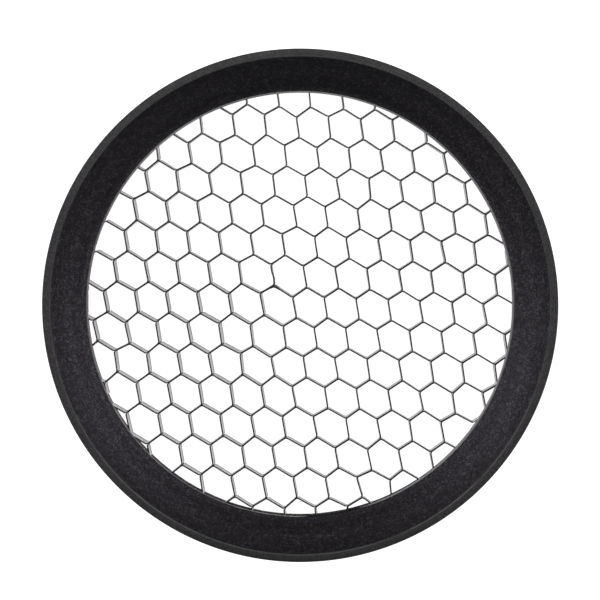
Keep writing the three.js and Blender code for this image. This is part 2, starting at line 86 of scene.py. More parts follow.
# ------------------------------------------------------------------ deterministic noise
def lattice_hash(ix, iy, iz, seed):
    """Repeatable value in [0, 1] for each whole-number grid point."""
    bits = (ix.astype(np.int64) * 73856093) ^ (iy.astype(np.int64) * 19349663)
    bits = bits ^ (iz.astype(np.int64) * 83492791) ^ (seed * 2654435761)
    bits = (bits ^ (bits >> 13)) * 1274126177
    bits = bits ^ (bits >> 16)
    return (bits & 0xFFFFFF).astype(float) / float(0xFFFFFF)


def value_noise(points, cell, seed):
    """Smooth value noise in [-1, 1] at points (n, 3), with cells of the given size."""
    scaled = np.asarray(points, float) / cell + 1000.0
    corner = np.floor(scaled).astype(np.int64)
    part = scaled - corner
    ease = part * part * part * (part * (part * 6 - 15) + 10)
    total = np.zeros(len(scaled))
    for dx in (0, 1):
        for dy in (0, 1):
            for dz in (0, 1):
                value = lattice_hash(corner[:, 0] + dx, corner[:, 1] + dy, corner[:, 2] + dz, seed)
                weight = ease[:, 0] if dx else 1 - ease[:, 0]
                weight = weight * (ease[:, 1] if dy else 1 - ease[:, 1])
                weight = weight * (ease[:, 2] if dz else 1 - ease[:, 2])
                total += value * weight
    return total * 2 - 1


def fractal(points, cell, octaves, seed, gain=0.5):
    """Octaves of value noise, each half the size of the one before, in [-1, 1]."""
    out = np.zeros(len(points))
    amplitude, total = 1.0, 0.0
    for k in range(octaves):
        out += amplitude * value_noise(points, cell / 2 ** k, seed + 17 * k)
        total += amplitude
        amplitude *= gain
    return out / total


# ------------------------------------------------------------------ mesh helpers
def fillet(corners, steps):
    """Outline of (r, z) points from corners of (r, z, fillet radius)."""
    points = [np.array(corner[:2], float) for corner in corners]
    outline = []
    for k, point in enumerate(points):
        radius = corners[k][2]
        if radius <= 0:
            outline.append(point)
            continue
        before = points[k - 1] - point
        after = points[(k + 1) % len(points)] - point
        before_length, after_length = np.linalg.norm(before), np.linalg.norm(after)
        before, after = before / before_length, after / after_length
        half = math.acos(float(np.clip(before @ after, -1, 1))) / 2
        setback = min(radius / math.tan(half), 0.48 * before_length, 0.48 * after_length)
        radius = setback * math.tan(half)
        start, end = point + before * setback, point + after * setback
        middle = (before + after) / np.linalg.norm(before + after)
        centre = point + middle * (radius / math.sin(half))
        first = math.atan2(*(start - centre)[::-1])
        last = math.atan2(*(end - centre)[::-1])
        sweep = (last - first + math.pi) % (2 * math.pi) - math.pi
        for step in range(steps + 1):
            angle = first + sweep * step / steps
            outline.append(centre + radius * np.array([math.cos(angle), math.sin(angle)]))
    return [tuple(point) for point in outline]


def make_object(name, verts, faces, sharp_deg):
    mesh = bpy.data.meshes.new(name)
    mesh.from_pydata([tuple(v) for v in np.asarray(verts, float) * MM], [], faces)
    mesh.validate(verbose=False)
    obj = bpy.data.objects.new(name, mesh)
    bpy.context.scene.collection.objects.link(obj)
    finish_mesh(obj, sharp_deg)
    return obj


def finish_mesh(obj, sharp_deg=32.0):
    """Outward normals, smooth faces, and hard edges where the surface turns sharply."""
    bm = bmesh.new()
    bm.from_mesh(obj.data)
    bmesh.ops.recalc_face_normals(bm, faces=bm.faces)
    limit = math.radians(sharp_deg)
    for face in bm.faces:
        face.smooth = True
    for edge in bm.edges:
        if len(edge.link_faces) == 2:
            edge.smooth = edge.calc_face_angle(0.0) < limit
    bm.to_mesh(obj.data)
    bm.free()
    obj.data.update()


def revolve(name, profile, segments, displace=None, sharp_deg=32.0, on_axis=False):
    """Ring from a closed (r, z) profile, or a solid if the profile's two ends are on the axis."""
    profile = np.array(profile, float)
    ring = profile[1:-1] if on_axis else profile
    count = len(ring)
    angle = np.arange(segments)[:, None] * 2 * math.pi / segments
    verts = np.stack([ring[None, :, 0] * np.cos(angle), ring[None, :, 0] * np.sin(angle),
                      np.repeat(ring[None, :, 1], segments, 0)], 2).reshape(-1, 3)
    if displace is not None:
        verts = displace(verts, ring)
    if on_axis:
        verts = np.vstack([verts, [[0, 0, profile[0, 1]], [0, 0, profile[-1, 1]]]])
    first_tip, last_tip = len(verts) - 2, len(verts) - 1
    faces = []
    for k in range(segments):
        here, there = k * count, (k + 1) % segments * count
        if on_axis:
            faces.append((first_tip, there, here))
            faces.append((last_tip, here + count - 1, there + count - 1))
        for low in range(count - 1 if on_axis else count):
            high = (low + 1) % count
            faces.append((here + low, there + low, there + high, here + high))
    return make_object(name, verts, faces, sharp_deg)


def push(verts, outward, forward):
    """Moves points away from the axis and along +Z."""
    radius = np.hypot(verts[:, 0], verts[:, 1])
    scale = (radius + outward) / radius
    return np.stack([verts[:, 0] * scale, verts[:, 1] * scale, verts[:, 2] + forward], 1)


def subtract(obj, cutters):
    """Cuts the cutters out of obj and removes them."""
    for cutter in cutters:
        mod = obj.modifiers.new("cut", "BOOLEAN")
        mod.operation = "DIFFERENCE"
        mod.solver = "EXACT"
        mod.object = cutter
    graph = bpy.context.evaluated_depsgraph_get()
    mesh = bpy.data.meshes.new_from_object(obj.evaluated_get(graph), depsgraph=graph)
    obj.modifiers.clear()
    old = obj.data
    obj.data = mesh
    mesh.name = obj.name
    bpy.data.meshes.remove(old)
    for cutter in cutters:
        data = cutter.data
        bpy.data.objects.remove(cutter)
        bpy.data.meshes.remove(data)
    finish_mesh(obj)


def move_to(obj, x, y):
    obj.data.transform(Matrix.Translation((x * MM, y * MM, 0)))


def out_of_round(obj):
    """Rings this thin are never truly round: these are a little wider than tall."""
    obj.data.transform(Matrix.Diagonal((1 + OVAL, 1 - OVAL, 1.0, 1.0)))


def dress(obj, material, node):
    obj.data.materials.clear()
    obj.data.materials.append(material)
    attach(obj, "root")
    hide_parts(node)


# ------------------------------------------------------------------ material helpers
def rgba(color):
    if isinstance(color, (int, float)):
        return (color, color, color, 1.0)
    return (*color, 1.0)


class Shader:
    """A Principled material, with short methods for the nodes that feed it."""

    INPUTS = {"color": "Base Color", "rough": "Roughness", "metal": "Metallic",
              "normal": "Normal", "spec": "Specular IOR Level", "spec_tint": "Specular Tint",
              "glow_color": "Emission Color", "glow": "Emission Strength"}

    def __init__(self, name):
        self.material = bpy.data.materials.new(name)
        self.material.use_nodes = True
        self.tree = self.material.node_tree
        self.tree.nodes.clear()
        self.surface = self.node("BsdfPrincipled")
        self.node("OutputMaterial", {"Surface": self.surface.outputs[0]})

    def node(self, kind, inputs=None, **settings):
        node = self.tree.nodes.new("ShaderNode" + kind)
        for key, value in settings.items():
            setattr(node, key, value)
        for key, value in (inputs or {}).items():
            self.put(node.inputs[key], value)
        return node

    def put(self, socket, value):
        """Links a socket, or sets its value."""
        if isinstance(value, bpy.types.NodeSocket):
            self.tree.links.new(value, socket)
        elif socket.type == "RGBA":
            socket.default_value = rgba(value)
        else:
            socket.default_value = value

    def finish(self, **values):
        for key, value in values.items():
            self.put(self.surface.inputs[self.INPUTS[key]], value)
        return self.material

    @cached_property
    def coords(self):
        return self.node("TexCoord").outputs["Object"]

    # Arithmetic
    def math(self, operation, a, b=0.0):
        return self.node("Math", {0: a, 1: b, 2: 0.0}, operation=operation).outputs[0]

    def plus(self, a, b):
        return self.math("ADD", a, b)

    def minus(self, a, b):
        return self.math("SUBTRACT", a, b)

    def scale(self, value, by):
        return self.math("MULTIPLY", value, by)

    def times(self, first, *others):
        for other in others:
            first = self.math("MULTIPLY", first, other)
        return first

    def weighted(self, *pairs):
        """Sum of (value, weight) pairs."""
        terms = [self.scale(value, by=weight) for value, weight in pairs]
        total = terms.pop()
        while terms:
            total = self.plus(terms.pop(), total)
        return total

    def remap(self, value, span=(0.3, 0.7), to=(0.0, 1.0)):
        """Clamped change of range. The default span is where most of a noise's values lie."""
        inputs = {"Value": value, "From Min": span[0], "From Max": span[1],
                  "To Min": to[0], "To Max": to[1]}
        return self.node("MapRange", inputs, clamp=True).outputs["Result"]

    # Colour
    def ramp(self, value, stops):
        """Colour ramp through (position, colour) stops."""
        node = self.node("ValToRGB", {"Fac": value})
        elements = node.color_ramp.elements
        while len(elements) > 1:
            elements.remove(elements[-1])
        elements[0].position = stops[0][0]
        elements[0].color = rgba(stops[0][1])
        for position, color in stops[1:]:
            elements.new(position).color = rgba(color)
        return node.outputs["Color"]

    def shades(self, noise, dark, light):
        return self.ramp(noise, [(0.3, dark), (0.7, light)])

    def mix(self, amount, under, over, blend="MIX"):
        inputs = {0: amount, 6: under, 7: over}
        return self.node("Mix", inputs, data_type="RGBA", blend_type=blend).outputs[2]

    def multiply(self, base, by):
        return self.mix(1.0, base, by, blend="MULTIPLY")

    # Textures, with scales in cells per metre
    def noise(self, scale, detail, rough=0.55, vector=None):
        inputs = {"Scale": scale, "Detail": detail, "Roughness": rough,
                  "Vector": vector or self.coords}
        return self.node("TexNoise", inputs).outputs["Fac"]

    def voronoi(self, scale):
        inputs = {"Scale": scale, "Vector": self.coords}
        return self.node("TexVoronoi", inputs).outputs["Distance"]

    def stretched(self, scale, rotation=(0.0, 0.0, 0.0)):
        """Texture vector in object space, scaled and turned."""
        inputs = {"Scale": scale, "Rotation": rotation, "Vector": self.coords}
        return self.node("Mapping", inputs).outputs[0]

    def position(self, wanted):
        """Object-space x, y, z and radius r in millimetres, for the letters wanted."""
        axes = self.node("SeparateXYZ", {0: self.coords}).outputs
        needed = wanted + "xy" if "r" in wanted else wanted
        parts = {axis: self.scale(axes[axis.upper()], by=1000.0)
                 for axis in "xyz" if axis in needed}
        if "r" in wanted:
            x, y = parts["x"], parts["y"]
            parts["r"] = self.math("SQRT", self.plus(self.times(x, x), self.times(y, y)))
        return [parts[letter] for letter in wanted]

    def polar_vector(self, around, across, up):
        """Texture vector of (arc length at 34 mm radius, radius, z) in metres, each scaled."""
        x, y, z, r = self.position("xyzr")
        inputs = {0: self.scale(self.math("ARCTAN2", y, x), by=0.034 * around),
                  1: self.scale(r, by=MM * across),
                  2: self.scale(z, by=MM * up)}
        return self.node("CombineXYZ", inputs).outputs[0]

    # Surface
    def edge_wear(self, radius_mm, span):
        """About 1 on edges and 0 on flats: how far the bevelled normal leaves the real one."""
        bevel = self.node("Bevel", {"Radius": radius_mm * MM}, samples=4)
        normal = self.node("NewGeometry").outputs["Normal"]
        inputs = {0: bevel.outputs[0], 1: normal}
        dot = self.node("VectorMath", inputs, operation="DOT_PRODUCT")
        return self.remap(self.minus(1.0, dot.outputs["Value"]), span)

    def bump(self, height, depth_mm, strength):
        inputs = {"Strength": strength, "Distance": depth_mm * MM, "Height": height}
        return self.node("Bump", inputs).outputs[0]


# ------------------------------------------------------------------ materials
def satin_plastic():
    """Smooth moulded black plastic, satin, with a very fine grain and lightly rubbed edges."""
    mat = Shader("satin_black_plastic")
    cloud = mat.noise(scale=180.0, detail=3.0, rough=0.5)
    grain = mat.noise(scale=5200.0, detail=3.0, rough=0.6)
    hair = mat.noise(scale=900.0, detail=4.0, rough=0.6,
                     vector=mat.polar_vector(around=0.08, across=3.0, up=3.0))
    base = mat.shades(cloud, dark=(0.0240, 0.0238, 0.0245), light=(0.0298, 0.0296, 0.0303))
    speckle = mat.noise(scale=2600.0, detail=2.0, rough=0.7)
    pale = mat.remap(speckle, span=(0.42, 0.64), to=(0.0, 0.9))
    base = mat.mix(pale, base, over=(0.058, 0.0575, 0.059))
    pits = mat.remap(grain, span=(0.35, 0.60), to=(0.7, 0.0))
    base = mat.mix(pits, base, over=(0.006, 0.006, 0.0063))
    patchy = mat.remap(mat.noise(scale=700.0, detail=4.0, rough=0.6),
                       span=(0.42, 0.62), to=(0.35, 1.0))
    wear = mat.times(mat.edge_wear(radius_mm=0.22, span=(0.03, 0.22)), patchy)
    base = mat.mix(mat.scale(wear, by=0.55), base, over=(0.085, 0.085, 0.087))

    # Painted highlight: a pale hair line round the inside edge of the rim stands in for the lamps'
    # glint on it, broken up by noise and fainter at the top and the very bottom.
    y, z, r = mat.position("yzr")
    painted_rim_highlight = mat.times(
        mat.remap(r, span=(RIM_INNER_R + 0.20, RIM_INNER_R + 0.11)),
        mat.remap(z, span=(RIM_Z - 0.16, RIM_Z - 0.08)),
        mat.remap(mat.noise(scale=260.0, detail=3.0, rough=0.6), span=(0.36, 0.56), to=(0.35, 1.0)),
        mat.remap(y, span=(14.0, -12.0), to=(0.25, 1.0)),
        mat.remap(y, span=(-37.0, -29.0), to=(0.40, 1.0)))
    # Painted shade: the lower part of the ring is darkened, along a ragged line.
    ragged_y = mat.plus(y, mat.remap(cloud, to=(-5.0, 5.0)))
    base = mat.multiply(base, by=mat.remap(ragged_y, span=(-38.0, -16.0), to=(0.55, 1.0)))
    # Lay the painted highlight of the rim's inner edge over the colour.
    base = mat.mix(painted_rim_highlight, base, over=(0.100, 0.100, 0.102))

    rough = mat.remap(cloud, to=(0.38, 0.46))
    rough = mat.plus(rough, mat.remap(hair, span=(0.3, 0.75), to=(-0.03, 0.06)))
    rough = mat.minus(rough, mat.scale(wear, by=0.16))
    height = mat.weighted((grain, 0.7), (hair, 0.3))
    return mat.finish(color=base, rough=rough, spec=0.45,
                      normal=mat.bump(height, depth_mm=0.010, strength=0.6))


def textured_band():
    """Matte black with a violet cast: fine dense grain, sparse pale specks, faint turned lines."""
    mat = Shader("textured_black_band")
    grain = mat.noise(scale=5600.0, detail=2.0, rough=0.6)
    medium = mat.noise(scale=2500.0, detail=3.0, rough=0.6)
    coarse = mat.noise(scale=1100.0, detail=3.0, rough=0.55)
    blotches = mat.noise(scale=300.0, detail=3.0, rough=0.55)
    turned = mat.noise(scale=1500.0, detail=3.0, rough=0.6,
                       vector=mat.polar_vector(around=0.03, across=1.0, up=1.0))
    tone = mat.weighted((grain, 0.55), (medium, 0.28), (coarse, 0.17))
    base = mat.ramp(tone, [
        (0.435, (0.0001, 0.0001, 0.0002)),
        (0.50, (0.0044, 0.0036, 0.0053)),
        (0.555, (0.0440, 0.0390, 0.0475)),
        (0.60, (0.1180, 0.1090, 0.1245)),
    ])
    # Painted shade: the upper part of the band is pulled towards a flat dark tone, which also quiets
    # its grain there.
    y, r = mat.position("yr")
    upper = mat.remap(y, span=(6.0, 30.0), to=(0.0, 0.42))
    base = mat.mix(upper, base, over=(0.0148, 0.0136, 0.0160))
    # Painted shade: the bottom of the band is darkened.
    bottom = mat.remap(y, span=(-31.0, -20.0), to=(0.36, 0.0))
    base = mat.mix(bottom, base, over=(0.0050, 0.0046, 0.0056))
    # Patches of a greener tint, then dull blotches and pale specks.
    green = mat.remap(mat.noise(scale=850.0, detail=2.0, rough=0.5),
                      span=(0.42, 0.60), to=(0.0, 0.75))
    base = mat.mix(green, base, mat.multiply(base, by=(1.02, 1.10, 0.98)))
    dull = mat.remap(blotches, span=(0.35, 0.68), to=(0.0, 0.22))
    base = mat.mix(dull, base, over=(0.0150, 0.0140, 0.0152))
    specks = mat.times(mat.remap(mat.voronoi(scale=1500.0), span=(0.10, 0.24), to=(1.0, 0.0)),
                       mat.remap(mat.noise(scale=700.0, detail=2.0), span=(0.53, 0.60)))
    base = mat.mix(mat.scale(specks, by=0.50), base, over=(0.120, 0.110, 0.112))
    # Painted shade: the band's colour and specular level fall off from its middle towards both edges.
    painted_edge_shade = mat.times(mat.remap(r, span=(33.3, 34.3), to=(0.80, 1.0)),
                         mat.remap(r, span=(35.8, 36.6), to=(1.0, 0.92)),
                         mat.remap(r, span=(32.2, 33.0), to=(1.00, 0.97)))
    base = mat.multiply(base, by=painted_edge_shade)
    rough = mat.plus(mat.remap(tone, span=(0.40, 0.60), to=(0.60, 0.40)),
                     mat.remap(turned, span=(0.35, 0.65), to=(0.04, -0.04)))
    height = mat.weighted((grain, 0.45), (medium, 0.55), (turned, 0.22))
    return mat.finish(color=base, rough=rough, spec=mat.scale(painted_edge_shade, by=0.52),
                      spec_tint=(1.0, 0.92, 1.06),
                      normal=mat.bump(height, depth_mm=0.12, strength=0.85))


def raw_aluminium():
    """Rolled aluminium strip: bare cut edges, thin black coat on its inside wall."""
    mat = Shader("raw_aluminium_edge")
    x, y, z, r = mat.position("xyzr")
    normal = mat.node("SeparateXYZ", {0: mat.node("NewGeometry").outputs["Normal"]})
    facing_z = mat.math("ABSOLUTE", normal.outputs[2])
    ragged = mat.noise(scale=1500.0, detail=4.0, rough=0.6)
    # Painted shade: on a short stretch near the bottom the flange takes the dark coat colour in place
    # of bare metal.
    stretch_ends = [
        mat.remap(mat.plus(x, mat.remap(ragged, to=(-0.9, 0.9))), span=span)
        for span in ((0.2, 1.6), (10.5, 8.2))]
    painted_flange_shade = mat.times(*stretch_ends, mat.remap(y, span=(-20.0, -22.0)))
    flange = mat.remap(z, span=(CORE_FRONT_Z - 0.02, CORE_FRONT_Z + 0.02))
    rear_edge = mat.remap(z, span=(CORE_REAR_Z + 0.06, CORE_REAR_Z + 0.02))
    ragged_facing = mat.plus(facing_z, mat.remap(ragged, to=(-0.25, 0.25)))
    bare = mat.times(mat.remap(ragged_facing, span=(0.30, 0.60)), mat.minus(1.0, painted_flange_shade),
                     mat.math("MAXIMUM", flange, rear_edge))
    brush = mat.noise(scale=1200.0, detail=5.0, rough=0.65,
                      vector=mat.polar_vector(around=0.05, across=4.0, up=4.0))
    # Painted shade: reflection is turned down in the lower part of the hoop, nearly dead matte there,
    # satin elsewhere.
    lowness = mat.math("DIVIDE", mat.scale(y, by=-1.0), r)
    wander = mat.remap(mat.noise(scale=160.0, detail=2.0), to=(-0.10, 0.10))
    painted_low_shade = mat.remap(mat.plus(lowness, wander), span=(0.45, 0.85))
    metal = mat.shades(brush, dark=(0.21, 0.21, 0.213), light=(0.48, 0.477, 0.47))
    # Painted shade: the bare metal darkens towards the corner under the bezel's lip.
    painted_lip_shade = mat.remap(r, span=(HOOP_EDGE_R + 0.12, LIP_R), to=(1.0, 0.46))
    metal = mat.multiply(metal, by=painted_lip_shade)
    coat = mat.shades(mat.noise(scale=900.0, detail=3.0),
                      dark=(0.014, 0.014, 0.015), light=(0.024, 0.024, 0.024))
    coat_rough = mat.mix(painted_low_shade, mat.remap(brush, to=(0.40, 0.52)), over=0.85)
    rough = mat.mix(bare, coat_rough, mat.remap(brush, to=(0.34, 0.52)))
    height = mat.weighted((brush, 0.8), (ragged, 0.4))
    return mat.finish(color=mat.mix(bare, coat, metal), rough=rough,
                      metal=mat.scale(bare, by=0.95),
                      spec=mat.remap(painted_low_shade, span=(0.0, 1.0), to=(0.42, 0.12)),
                      normal=mat.bump(height, depth_mm=0.012, strength=0.6))


def coated_foil():
    """Aluminium foil with a thin satin black coat, thin or broken in places on the cut edges."""
    mat = Shader("black_coated_foil")
    z, = mat.position("z")
    cloud = mat.noise(scale=650.0, detail=3.0, rough=0.5)
    fine = mat.noise(scale=6000.0, detail=3.0, rough=0.6)
    streak = mat.noise(scale=3500.0, detail=3.0, rough=0.6,
                       vector=mat.stretched(scale=(1.0, 1.0, 0.12)))
    base = mat.shades(cloud, dark=(0.020, 0.020, 0.021), light=(0.034, 0.034, 0.035))
    chips = mat.times(
        mat.remap(mat.noise(scale=2600.0, detail=4.0, rough=0.65), span=(0.60, 0.70)),
        mat.remap(z, span=(CORE_FRONT_Z - 0.12, CORE_FRONT_Z - 0.02)))
    color = mat.mix(mat.scale(chips, by=0.5), base, over=(0.30, 0.30, 0.31))
    rough = mat.plus(mat.remap(cloud, to=(0.19, 0.26)), mat.remap(streak, to=(-0.02, 0.05)))
    height = mat.weighted((streak, 0.6), (fine, 0.4))
    return mat.finish(color=color, rough=rough, metal=mat.scale(chips, by=0.6), spec=0.5,
                      normal=mat.bump(height, depth_mm=0.004, strength=0.5))


def nickel_plating():
    """Nickel plating: bright, faintly scratched in one direction, dulled by fingers."""
    mat = Shader("nickel_plated_magnet")
    smudge = mat.noise(scale=420.0, detail=4.0, rough=0.6)
    fine = mat.noise(scale=9000.0, detail=3.0, rough=0.6)
    along = mat.stretched(scale=(6.0, 0.25, 1.0), rotation=(0.0, 0.0, 0.6))
    scratches = mat.noise(scale=1500.0, detail=4.0, rough=0.6, vector=along)
    color = mat.shades(smudge, dark=(0.50, 0.49, 0.47), light=(0.66, 0.65, 0.63))
    rough = mat.plus(mat.remap(smudge, to=(0.18, 0.34)),
                     mat.remap(scratches, span=(0.4, 0.75), to=(0.0, 0.14)))
    height = mat.weighted((scratches, 0.6), (fine, 0.4))
    return mat.finish(color=color, rough=rough, metal=1.0,
                      normal=mat.bump(height, depth_mm=0.004, strength=0.5))


def blackened_steel():
    """Black oxide steel, worn brighter on the edges of head and recess."""
    mat = Shader("blackened_steel")
    cloud = mat.noise(scale=1500.0, detail=4.0, rough=0.6)
    fine = mat.noise(scale=8000.0, detail=3.0, rough=0.6)
    wear = mat.times(mat.edge_wear(radius_mm=0.10, span=(0.03, 0.30)),
                     mat.remap(cloud, span=(0.40, 0.60), to=(0.3, 1.0)))
    color = mat.shades(cloud, dark=(0.040, 0.040, 0.044), light=(0.075, 0.073, 0.074))
    color = mat.mix(mat.scale(wear, by=0.8), color, over=(0.42, 0.41, 0.40))
    rough = mat.minus(mat.remap(cloud, to=(0.32, 0.46)), mat.scale(wear, by=0.10))
    return mat.finish(color=color, rough=rough, metal=0.92,
                      normal=mat.bump(fine, depth_mm=0.004, strength=0.5))


PLASTIC = satin_plastic()
BAND = textured_band()
ALUMINIUM = raw_aluminium()
FOIL = coated_foil()
NICKEL = nickel_plating()
STEEL = blackened_steel()


# ------------------------------------------------------------------ moulded outer ring
def rim_wave(verts, profile):
    """The rim of a thin moulding is off flat and round by a few hundredths."""
    angle = np.arctan2(verts[:, 1], verts[:, 0])
    toward_rim = np.clip((verts[:, 2] - 9.0) / 5.5, 0, 1)
    outward = 0.012 * np.sin(3 * angle + 0.7) * toward_rim - 0.012 * toward_rim
    forward = (0.012 * np.sin(2 * angle + 1.9) - 0.012) * (verts[:, 2] > RIM_Z - 0.3)
    return push(verts, outward, forward)


def build_outer_ring():
    flange_front_z = BEZEL_SEAT_Z - 0.04
    profile = fillet([
        (FLANGE_BORE_R, FLANGE_REAR_Z, 0.10),
        (OUTER_R, FLANGE_REAR_Z, 0.16),
        (OUTER_R, RIM_Z, 0.18),
        (RIM_INNER_R, RIM_Z, 0.10),
        (RIM_INNER_R, flange_front_z, 0.0),
        (FLANGE_BORE_R, flange_front_z, 0.05),
    ], steps=6)
    obj = revolve("ring_housing", profile, 384, displace=rim_wave)
    out_of_round(obj)
    dress(obj, PLASTIC, "outer_ring")


# ------------------------------------------------------------------ textured funnel bezel
# Visible face of the band, (r, z), from the rim down to the inner lip.
BAND_PROFILE = [
    (36.70, 14.30), (36.62, 14.23), (36.45, 13.98), (36.20, 13.60), (35.70, 12.88),
    (35.20, 12.19), (34.70, 11.56), (34.20, 10.98), (33.70, 10.41), (33.20, 9.86),
    (32.75, 9.37), (32.35, 8.99), (32.13, 8.83), (32.01, 8.77), (31.95, 8.75),
]


def smooth_curve(points, spacing):
    """Catmull-Rom curve through the points, resampled at about the given spacing."""
    knots = np.array(points, float)
    knots = np.vstack([2 * knots[0] - knots[1], knots, 2 * knots[-1] - knots[-2]])
    curve = []
    for k in range(1, len(knots) - 2):
        a, b, c, d = knots[k - 1:k + 3]
        for t in np.linspace(0, 1, 12, endpoint=False):
            curve.append(0.5 * (2 * b + (c - a) * t + (2 * a - 5 * b + 4 * c - d) * t * t
                                + (3 * b - a - 3 * c + d) * t ** 3))
    curve.append(knots[-2])
    curve = np.array(curve)
    travel = np.r_[0, np.cumsum(np.hypot(*np.diff(curve, axis=0).T))]
    steps = max(2, int(round(travel[-1] / spacing)))
    stations = np.linspace(0, travel[-1], steps + 1)
    return np.stack([np.interp(stations, travel, curve[:, k]) for k in (0, 1)], 1)


def build_bezel():
    seen = smooth_curve(BAND_PROFILE, spacing=0.16)
    seen_count = len(seen) - 1
    lip = fillet([
        (*seen[-2], 0),
        (LIP_R, 8.73, 0.07),
        (LIP_R, BEZEL_SEAT_Z, 0.03),
        (BEZEL_OUTER_R, BEZEL_SEAT_Z, 0),
    ], steps=3)[1:]
    outer_wall = [(BEZEL_OUTER_R, z) for z in (9.5, 11.0, 12.5)] + [(BEZEL_OUTER_R + 0.01, 14.0)]

    def rough_cast(verts, profile):
        """Rough texture on the visible band only, fading out at its two edges."""
        index = np.arange(len(verts)) % len(profile)
        tangent = np.roll(profile, -1, axis=0) - np.roll(profile, 1, axis=0)
        normal = np.stack([tangent[:, 1], -tangent[:, 0]], 1)
        normal /= np.linalg.norm(normal, axis=1)[:, None]
        # The band's open side faces the axis and the front.
        normal *= np.where(normal[:, 0] > 0, -1.0, 1.0)[:, None]
        normal = normal[index]
        fade = np.clip(np.minimum(index, seen_count - index) / 5.0, 0, 1)
        height = 0.032 * fractal(verts, 0.62, 3, 5, 0.6) + 0.024 * fractal(verts, 2.6, 2, 9)
        height = height * np.where(index < seen_count, fade, 0.0)
        # The thin inner lip stands a little further in along the bottom.
        radius = np.hypot(verts[:, 0], verts[:, 1])
        lowness = ((1 - verts[:, 1] / radius) / 2) ** 2
        inset = 0.12 * lowness * np.clip((32.6 - radius) / 0.5, 0, 1)
        return push(verts, normal[:, 0] * height - inset, normal[:, 1] * height)

    profile = [tuple(point) for point in seen[:-1]] + lip + outer_wall
    obj = revolve("flared_band", profile, 900, displace=rough_cast, sharp_deg=50.0)
    out_of_round(obj)
    dress(obj, BAND, "funnel_bezel")


# ------------------------------------------------------------------ hoop round the core
HOOP_STEP_Z = CORE_FRONT_Z + 0.02       # rear face of the hoop's front flange


def hoop_dents(verts, profile):
    """Rolled strip: its free edge and wall wander, and its front face is not quite level."""
    x, y, z = verts.T
    radius = np.hypot(x, y)
    angle = np.arctan2(y, x)
    where = np.stack([x, y, z * 0.6], 1)
    in_flange = (z > HOOP_STEP_Z - 0.01) & (radius < HOOP_WALL_R - 0.05)
    in_wall = (z < HOOP_STEP_Z - 0.01) & (radius < HOOP_WALL_R + 0.05)
    edge = (0.075 - 0.050 * np.cos(angle) - 0.018 * np.sin(angle)
            - 0.045 * np.cos(2 * angle) + 0.036 * np.sin(2 * angle)
            + 0.025 * fractal(where, 2.6, 3, 31))
    wall = 0.012 + 0.012 * fractal(where, 3.2, 2, 33) + 0.055 * (1 + np.cos(angle - 4.1))
    face = -0.015 + 0.015 * fractal(where, 1.3, 3, 37)
    outward = np.where(in_flange, edge, 0.0) + np.where(in_wall, wall, 0.0)
    return push(verts, outward, np.where(z > HOOP_FRONT_Z - 0.05, face, 0.0))


def build_hoop():
    profile = fillet([
        (HOOP_WALL_R, CORE_REAR_Z, 0.05),
        (HOOP_OUTER_R, CORE_REAR_Z, 0.05),
        (HOOP_OUTER_R, HOOP_FRONT_Z, 0.10),
        (HOOP_EDGE_R, HOOP_FRONT_Z, 0.07),
        (HOOP_EDGE_R, HOOP_STEP_Z, 0.05),
        (HOOP_WALL_R, HOOP_STEP_Z, 0.03),
    ], steps=4)
    obj = revolve("core_binding_hoop", profile, 480, displace=hoop_dents, sharp_deg=40.0)
    out_of_round(obj)
    dress(obj, ALUMINIUM, "core_hoop")


# ------------------------------------------------------------------ rear ring, magnets, screws
# Pockets in the rear face. "bore" is the (r, z) outline in from the pocket's floor, and "mouth"
# the (added r, z) outline from the pocket's wall out past the rear face.
MAGNET_POCKET = {
    "clearance": 0.10, "floor_z": 1.6, "bore": [(0, 1.6)],
    "mouth": [(0, 0.12), (0.06, 0.05), (0.17, 0.0), (0.17, -0.5)],
}
SCREW_POCKET = {
    "clearance": 0.30, "floor_z": 1.0, "bore": [(0, 3.5), (0.95, 3.5), (0.95, 1.0)],
    "mouth": [(0, 0.16), (0.05, 0.06), (0.16, 0.0), (0.16, -0.5)],
}
THREAD_PITCH = 0.42
SCREW_HEAD = 0.85                       # height of the screw head
RECESS_ARMS = [(1.5, 0.34), (0.34, 1.5)]    # x and y size of each arm of the cross recess
RECESS_DEPTH = 0.9                      # height of the recess cutter, centred near the rear end


def part_extent(node):
    """Centre x and y, radius, rear z and front z of a round part."""
    low, high = box_mm(node)
    centre, half = (low + high) / 2, (high - low) / 2
    return centre[0], centre[1], half[0], centre[2] - half[2], centre[2] + half[2]


def pocket_cutter(node, clearance, floor_z, bore, mouth):
    x, y, radius, _, _ = part_extent(node)
    radius += clearance
    profile = bore + [(radius, floor_z)] + [(radius + out, z) for out, z in mouth] + [(0, -0.5)]
    obj = revolve("cutter", profile, 48, on_axis=True)
    move_to(obj, x, y)
    return obj


def build_rear_ring():
    profile = fillet([
        (REAR_INNER_R + 0.2, 0, 0.08),
        (OUTER_R, 0, 0.45),
        (OUTER_R, REAR_TOP_Z, 0.16),
        (REAR_INNER_R, REAR_TOP_Z, 0.05),
        (REAR_INNER_R, 0.2, 0.08),
    ], steps=6)
    obj = revolve("magnet_carrier_ring", profile, 384)
    subtract(obj, [pocket_cutter(node, **MAGNET_POCKET) for node in MAGNETS]
             + [pocket_cutter(node, **SCREW_POCKET) for node in SCREWS])
    # The bore is eased open so the hoop's own wall is what bounds the view through the cells.
    for vertex in obj.data.vertices:
        radius = math.hypot(vertex.co.x, vertex.co.y) / MM
        near_bore = min(1.0, max(0.0, (REAR_INNER_R + 0.55 - radius) / 0.4))
        scale = 1 + 0.08 * near_bore / radius
        vertex.co.x *= scale
        vertex.co.y *= scale
    out_of_round(obj)
    dress(obj, PLASTIC, "rear_ring")


